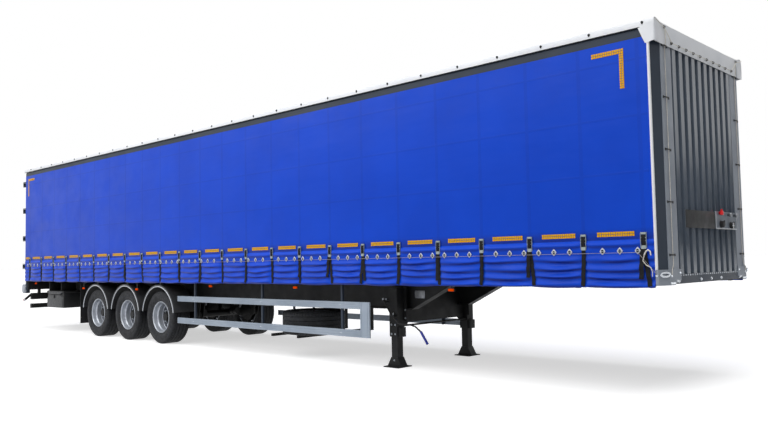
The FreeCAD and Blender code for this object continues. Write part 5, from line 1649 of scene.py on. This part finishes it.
# %% Side lamps
LAMP_PLACES = ((-7.577, 1.128), (-4.964, 1.035), (-2.588, 1.040), (0.043, 1.128),
               (2.379, 1.128), (5.483, 1.128))
rail_low, rail_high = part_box("side_rails")
lenses, lamp_backs = Shape(), Shape()
lamp_face = rail_high.y + 0.002
for x, z in LAMP_PLACES:
    lenses.pair((x - 0.046, lamp_face - 0.018, z - 0.017), (x + 0.046, lamp_face, z + 0.017))
    lamp_backs.pair((x - 0.051, lamp_face - 0.030, z - 0.021), (x + 0.051, lamp_face - 0.016, z + 0.021))
    lamp_backs.pair((x - 0.013, lamp_face - 0.024, z + 0.018), (x + 0.013, lamp_face - 0.016, rail_low.z))
build("side_lamp_lenses", lenses, "lamp_orange", replaced=("side_lamps",), bevel=0.006)
build("side_lamp_backs", lamp_backs, "black_plastic", bevel=0.002)

# %% Air tanks
TANK_RADIUS, BAND_RADIUS = 0.125, 0.128
tanks_low, tanks_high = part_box("air_tanks")
tank_y = tanks_high.y - TANK_RADIUS
tank_z = tanks_low.z + TANK_RADIUS
DOME = [(0.0, 0.0), (0.050, 0.004), (0.085, 0.014), (0.110, 0.032), (0.121, 0.052), (TANK_RADIUS, 0.085)]
tanks, bands = Shape(), Shape()
for side in SIDES:
    spot = Matrix.Translation((0.0, side * tank_y, tank_z))
    profile = [(radius, tanks_low.x + x) for radius, x in DOME] + \
              [(radius, tanks_high.x - x) for radius, x in reversed(DOME)]
    tanks.join(carried(headed(profile, 36), spot))
    for x in (-1.110, -0.455):
        tanks.box((x - 0.018, side * tank_y - 0.055, tank_z + 0.100),
                  (x + 0.018, side * tank_y + 0.055, tanks_high.z))
        band = [(TANK_RADIUS, x - 0.020), (BAND_RADIUS, x - 0.019), (BAND_RADIUS, x + 0.019),
                (TANK_RADIUS, x + 0.020)]
        bands.join(carried(headed(band, 36), spot))
build("air_tank_shells", tanks, "chassis_black", replaced=("air_tanks",))
build("air_tank_bands", bands, "galvanised")


# %% Tool box
def raised_panel(shape, outline, base, face, inset):
    """A panel standing out from base to face along Y, its edge sloped inwards; the outline is (x, z) points."""
    middle = Vector((sum(x for x, z in outline) / len(outline), sum(z for x, z in outline) / len(outline)))
    rings = [[(x, base, z) for x, z in outline], []]
    for point in outline:
        way = middle - Vector(point)
        x, z = Vector(point) + way.normalized() * inset
        rings[1].append((x, face, z))
    shape.grid(rings, close_columns=True)
    first = len(shape.corners) - len(outline)
    shape.faces.append(tuple(range(first, len(shape.corners))))
    return shape


box_low, box_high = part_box("tool_box")
BOX_TOP = 0.953
tool_shell = Shape()
tool_shell.box((box_low.x + 0.012, box_low.y + 0.030, box_low.z),
               (box_high.x - 0.012, box_high.y - 0.010, 0.915))
tool_shell.box((box_low.x, box_low.y + 0.012, 0.905), (box_high.x, box_high.y, BOX_TOP))
for x in (-7.005, -6.350):
    tool_shell.box((x - 0.015, box_low.y + 0.062, BOX_TOP - 0.010),
                   (x + 0.015, box_high.y - 0.055, box_high.z))
build("tool_box_shell", tool_shell, "black_plastic", replaced=("tool_box",), bevel=0.010)
tool_front = Shape()
left, right = box_low.x + 0.030, box_high.x - 0.030
raised_panel(tool_front, [(left, 0.580), (right, 0.580), (right, 0.790), (right - 0.120, 0.862),
                          (left + 0.120, 0.862), (left, 0.790)], box_low.y + 0.031, box_low.y, 0.024)
raised_panel(tool_front, [(left + 0.135, 0.874), (right - 0.135, 0.874), (right - 0.010, 0.944),
                          (left + 0.010, 0.944)], box_low.y + 0.013, box_low.y + 0.002, 0.010)
build("tool_box_front", tool_front, "tool_grey", bevel=0.003)
latch = Shape().box((-6.600, box_low.y - 0.010, 0.800), (-6.540, box_low.y + 0.002, 0.860))
latch.box((-6.590, box_low.y - 0.016, 0.780), (-6.550, box_low.y - 0.006, 0.830))
build("tool_box_latch", latch, "black_rubber", bevel=0.003)

# %% [markdown]
# ## Landing gear and markings
# Bolts hold the leg plates to the beams. The crank hangs in a clip, with a blue grip on its handle. A blank
# data plate is riveted to the beam beside it.

# %% Leg bolts, crank fittings and data plate
PLATE_FACE, CASE_FACE, SHOE_PIN_Y, CRANK_Y = 0.742, 0.890, 0.883, -0.950
LEG_BOLTS = ((3.940, 1.054), (4.020, 1.054), (3.950, 0.990), (4.020, 0.988), (4.030, 0.917), (3.980, 0.890),
             (3.860, 0.955), (4.232, 0.806), (4.232, 0.690))
leg_bolts = []
for side in SIDES:
    leg_bolts += [row((x, side * PLATE_FACE, z), OUTWARDS[side]) for x, z in LEG_BOLTS]
    leg_bolts += [row((4.095, side * CASE_FACE, z), OUTWARDS[side], 2, (0.070, 0, 0)) for z in (0.470, 0.600)]
    leg_bolts.append(row((4.130, side * SHOE_PIN_Y, 0.095), OUTWARDS[side]))
bolts("leg_plate_bolts", 0.020, 0.012, leg_bolts, "galvanised")

lever = Shape().box((4.134, -0.902, 0.735), (4.146, -0.890, 0.775))
build("gear_lever", lever, "bright_zinc", bevel=0.002)
clip = Shape().box((3.984, CRANK_Y - 0.004, 0.926), (4.022, -PLATE_FACE, 0.936))
clip.box((3.984, CRANK_Y - 0.010, 0.926), (4.022, CRANK_Y - 0.002, 0.962))
build("crank_clip", clip, "chassis_black", bevel=0.002)
ball = headed([(0.017 * math.sin(math.pi * k / 8), -0.017 * math.cos(math.pi * k / 8)) for k in range(9)], 16)
build("crank_end_ball", carried(ball, Matrix.Translation((3.995, CRANK_Y, 0.966))),
      "pale_enamel")
grip = Shape().sweep([(4.700, CRANK_Y, 0.537), (4.758, CRANK_Y, 0.456), (4.819, CRANK_Y, 0.371)],
                     circle(0.0175, 16))
build("crank_grip", grip, "blue_grip", bevel=0.003)

# a thin web joins the long beams above the leg brace, and a return closes the rear apron against each beam
WEB_FACE = 0.654
BEAM_FOOT, APRON_FOOT, CROSS_FOOT = 0.806, 0.967, 1.182
frame_webs = Shape().box((4.126, -WEB_FACE + 0.012, BEAM_FOOT), (4.134, WEB_FACE - 0.012, CROSS_FOOT))
frame_webs.pair((-8.108, WEB_FACE + 0.001, APRON_FOOT), (-8.062, 0.722, CROSS_FOOT))
build("frame_webs", frame_webs, "chassis_black")

data_plate = Shape().box((4.347, -WEB_FACE - 0.005, 0.974), (4.535, -WEB_FACE - 0.002, 1.082))
build("blank_data_plate", data_plate, "plate_grey", bevel=0.001)
plate_frame = Shape().box((4.339, -WEB_FACE - 0.003, 0.966), (4.543, -WEB_FACE, 1.090))
build("data_plate_back", plate_frame, "black_plastic")
bolts("data_plate_rivets", 0.006, 0.003,
      [row((4.355, -WEB_FACE - 0.005, 0.982), OUTWARDS[-1], 2, (0.172, 0.0, 0.0), 2, (0.0, 0.0, 0.092))],
      "black_plastic")
bolts("rail_bolts", 0.016, 0.008,
      [row((x - 0.035, side * rail_high.y, 1.215), OUTWARDS[side], 2, (0.070, 0.0, 0.0))
       for side in SIDES for x in UPRIGHT_PLACES])
print("pieces", len(made))

# %% [markdown]
# ## The back
# Two doors close the back. Each one has pressed ribs, a rubber seal, hinge bolts and grips on its lock bars, and
# they all turn with it. Under them sit the round-nosed buffers, the lamps, two marker lamps on slanting rubber
# arms, and a blank number plate.

# %% Doors
DOOR_FACE = -8.230
DOOR_MEET, DOOR_FOOT, DOOR_TOP = 0.006, 1.230, 3.900
RIB_PLACES = (0.30, 0.42, 0.54, 0.66, 0.78, 1.02)
HINGE_HEIGHTS = (1.550, 2.250, 2.950, 3.620)
BAR_PLACES = (0.180, 0.910)
for side, label in ((1, "left"), (-1, "right")):
    body = f"{label}_door"
    ribs, seals, grips = Shape(), Shape(), Shape()
    for y in RIB_PLACES:
        rings = [[(DOOR_FACE + 0.001, side * (y + across), z) for across, z in
                  ((-0.030, 1.300), (0.030, 1.300), (0.030, 3.830), (-0.030, 3.830))],
                 [(DOOR_FACE - 0.004, side * (y + across), z) for across, z in
                  ((-0.020, 1.325), (0.020, 1.325), (0.020, 3.805), (-0.020, 3.805))]]
        ribs.grid(rings, close_columns=True)
        ribs.faces.append(tuple(range(len(ribs.corners) - 4, len(ribs.corners))))
    build(f"door_ribs_{label}", ribs, "frame_grey", body=body)
    seals.box((DOOR_FACE - 0.004, side * (DOOR_MEET + 0.001), DOOR_FOOT),
              (DOOR_FACE + 0.001, side * 0.022, DOOR_TOP))
    for z in (DOOR_FOOT, DOOR_TOP - 0.014):
        seals.box((DOOR_FACE - 0.004, side * 0.022, z), (DOOR_FACE + 0.001, side * 1.080, z + 0.014))
    build(f"door_seals_{label}", seals, "black_rubber", body=body, bevel=0.001)
    for y in BAR_PLACES:
        grips.box((DOOR_FACE - 0.032, side * (y + 0.190), 1.626),
                  (DOOR_FACE - 0.006, side * (y + 0.302), 1.669))
    build(f"door_grips_{label}", grips, "black_plastic", body=body, bevel=0.005)
    bolts(f"door_bolts_{label}", 0.016, 0.008,
          [row((DOOR_FACE - 0.010, side * 1.115, z - 0.025), TO_REAR, 2, (0.0, side * 0.060, 0.0),
               2, (0.0, 0.0, 0.050)) for z in HINGE_HEIGHTS], body=body)

# %% Buffers and lamps
buffer_low, buffer_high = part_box("rear_buffers")
BUFFER_INNER = 1.170
nose = [(buffer_high.x, buffer_low.z)]
nose += [(buffer_low.x + back, z) for back, z in
         ((0.060, buffer_low.z), (0.024, 0.900), (0.006, 0.935), (0.0, 0.990), (0.006, 1.045), (0.024, 1.080),
          (0.060, buffer_high.z))]
nose.append((buffer_high.x, buffer_high.z))
buffers = Shape()
for side in SIDES:
    buffers.slab(nose, "y", *sorted((side * BUFFER_INNER, side * buffer_high.y)))
build("buffer_blocks", buffers, "buffer_grey", replaced=("rear_buffers",), bevel=0.012)

lamps_low, lamps_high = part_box("rear_lamps")
LAMP_INNER, LAMP_OUTER = 0.640, 1.096
LAMP_BACK = lamps_high.x
cases, red_lenses, orange_lenses, clear_lenses = Shape(), Shape(), Shape(), Shape()
share = (LAMP_OUTER - LAMP_INNER - 0.016) / 4
cases.pair((LAMP_BACK - 0.014, LAMP_INNER, lamps_low.z), (LAMP_BACK, LAMP_OUTER, lamps_high.z))
for k, target in enumerate((clear_lenses, red_lenses, orange_lenses, red_lenses)):
    inner = LAMP_INNER + 0.008 + k * share
    target.pair((lamps_low.x - 0.003, inner + 0.002, lamps_low.z + 0.008),
                (LAMP_BACK - 0.012, inner + share - 0.002, lamps_high.z - 0.008))
# the marker lamps at the ends of the slanting arms: clear in front, red behind
clear_lenses.pair((-8.214, 1.258, 0.686), (-8.184, 1.289, 0.732))
red_lenses.pair((-8.246, 1.258, 0.686), (-8.216, 1.289, 0.732))
build("lamp_cases", cases, "black_plastic", bevel=0.003)
build("lamp_lenses_red", red_lenses, "lamp_red", replaced=("rear_lamps",), bevel=0.004)
build("lamp_lenses_orange", orange_lenses, "lamp_orange", bevel=0.004)
build("lamp_lenses_clear", clear_lenses, "lamp_clear", bevel=0.004)
number_plate = Shape().box((-8.206, -0.260, 0.745), (-8.2005, 0.260, 0.855))
build("blank_number_plate", number_plate, "pale_enamel", bevel=0.002)
end_caps = Shape().pair((-8.172, 1.138, 0.504), (-8.068, 1.150, 0.616))
build("underrun_caps", end_caps, "black_plastic", bevel=0.008)
bolts("buffer_bolts", 0.020, 0.008,
      [row((-8.16, side * 1.256, 0.93), OUTWARDS[side], 2, (0.0, 0.0, 0.12)) for side in SIDES])
print("pieces", len(made))
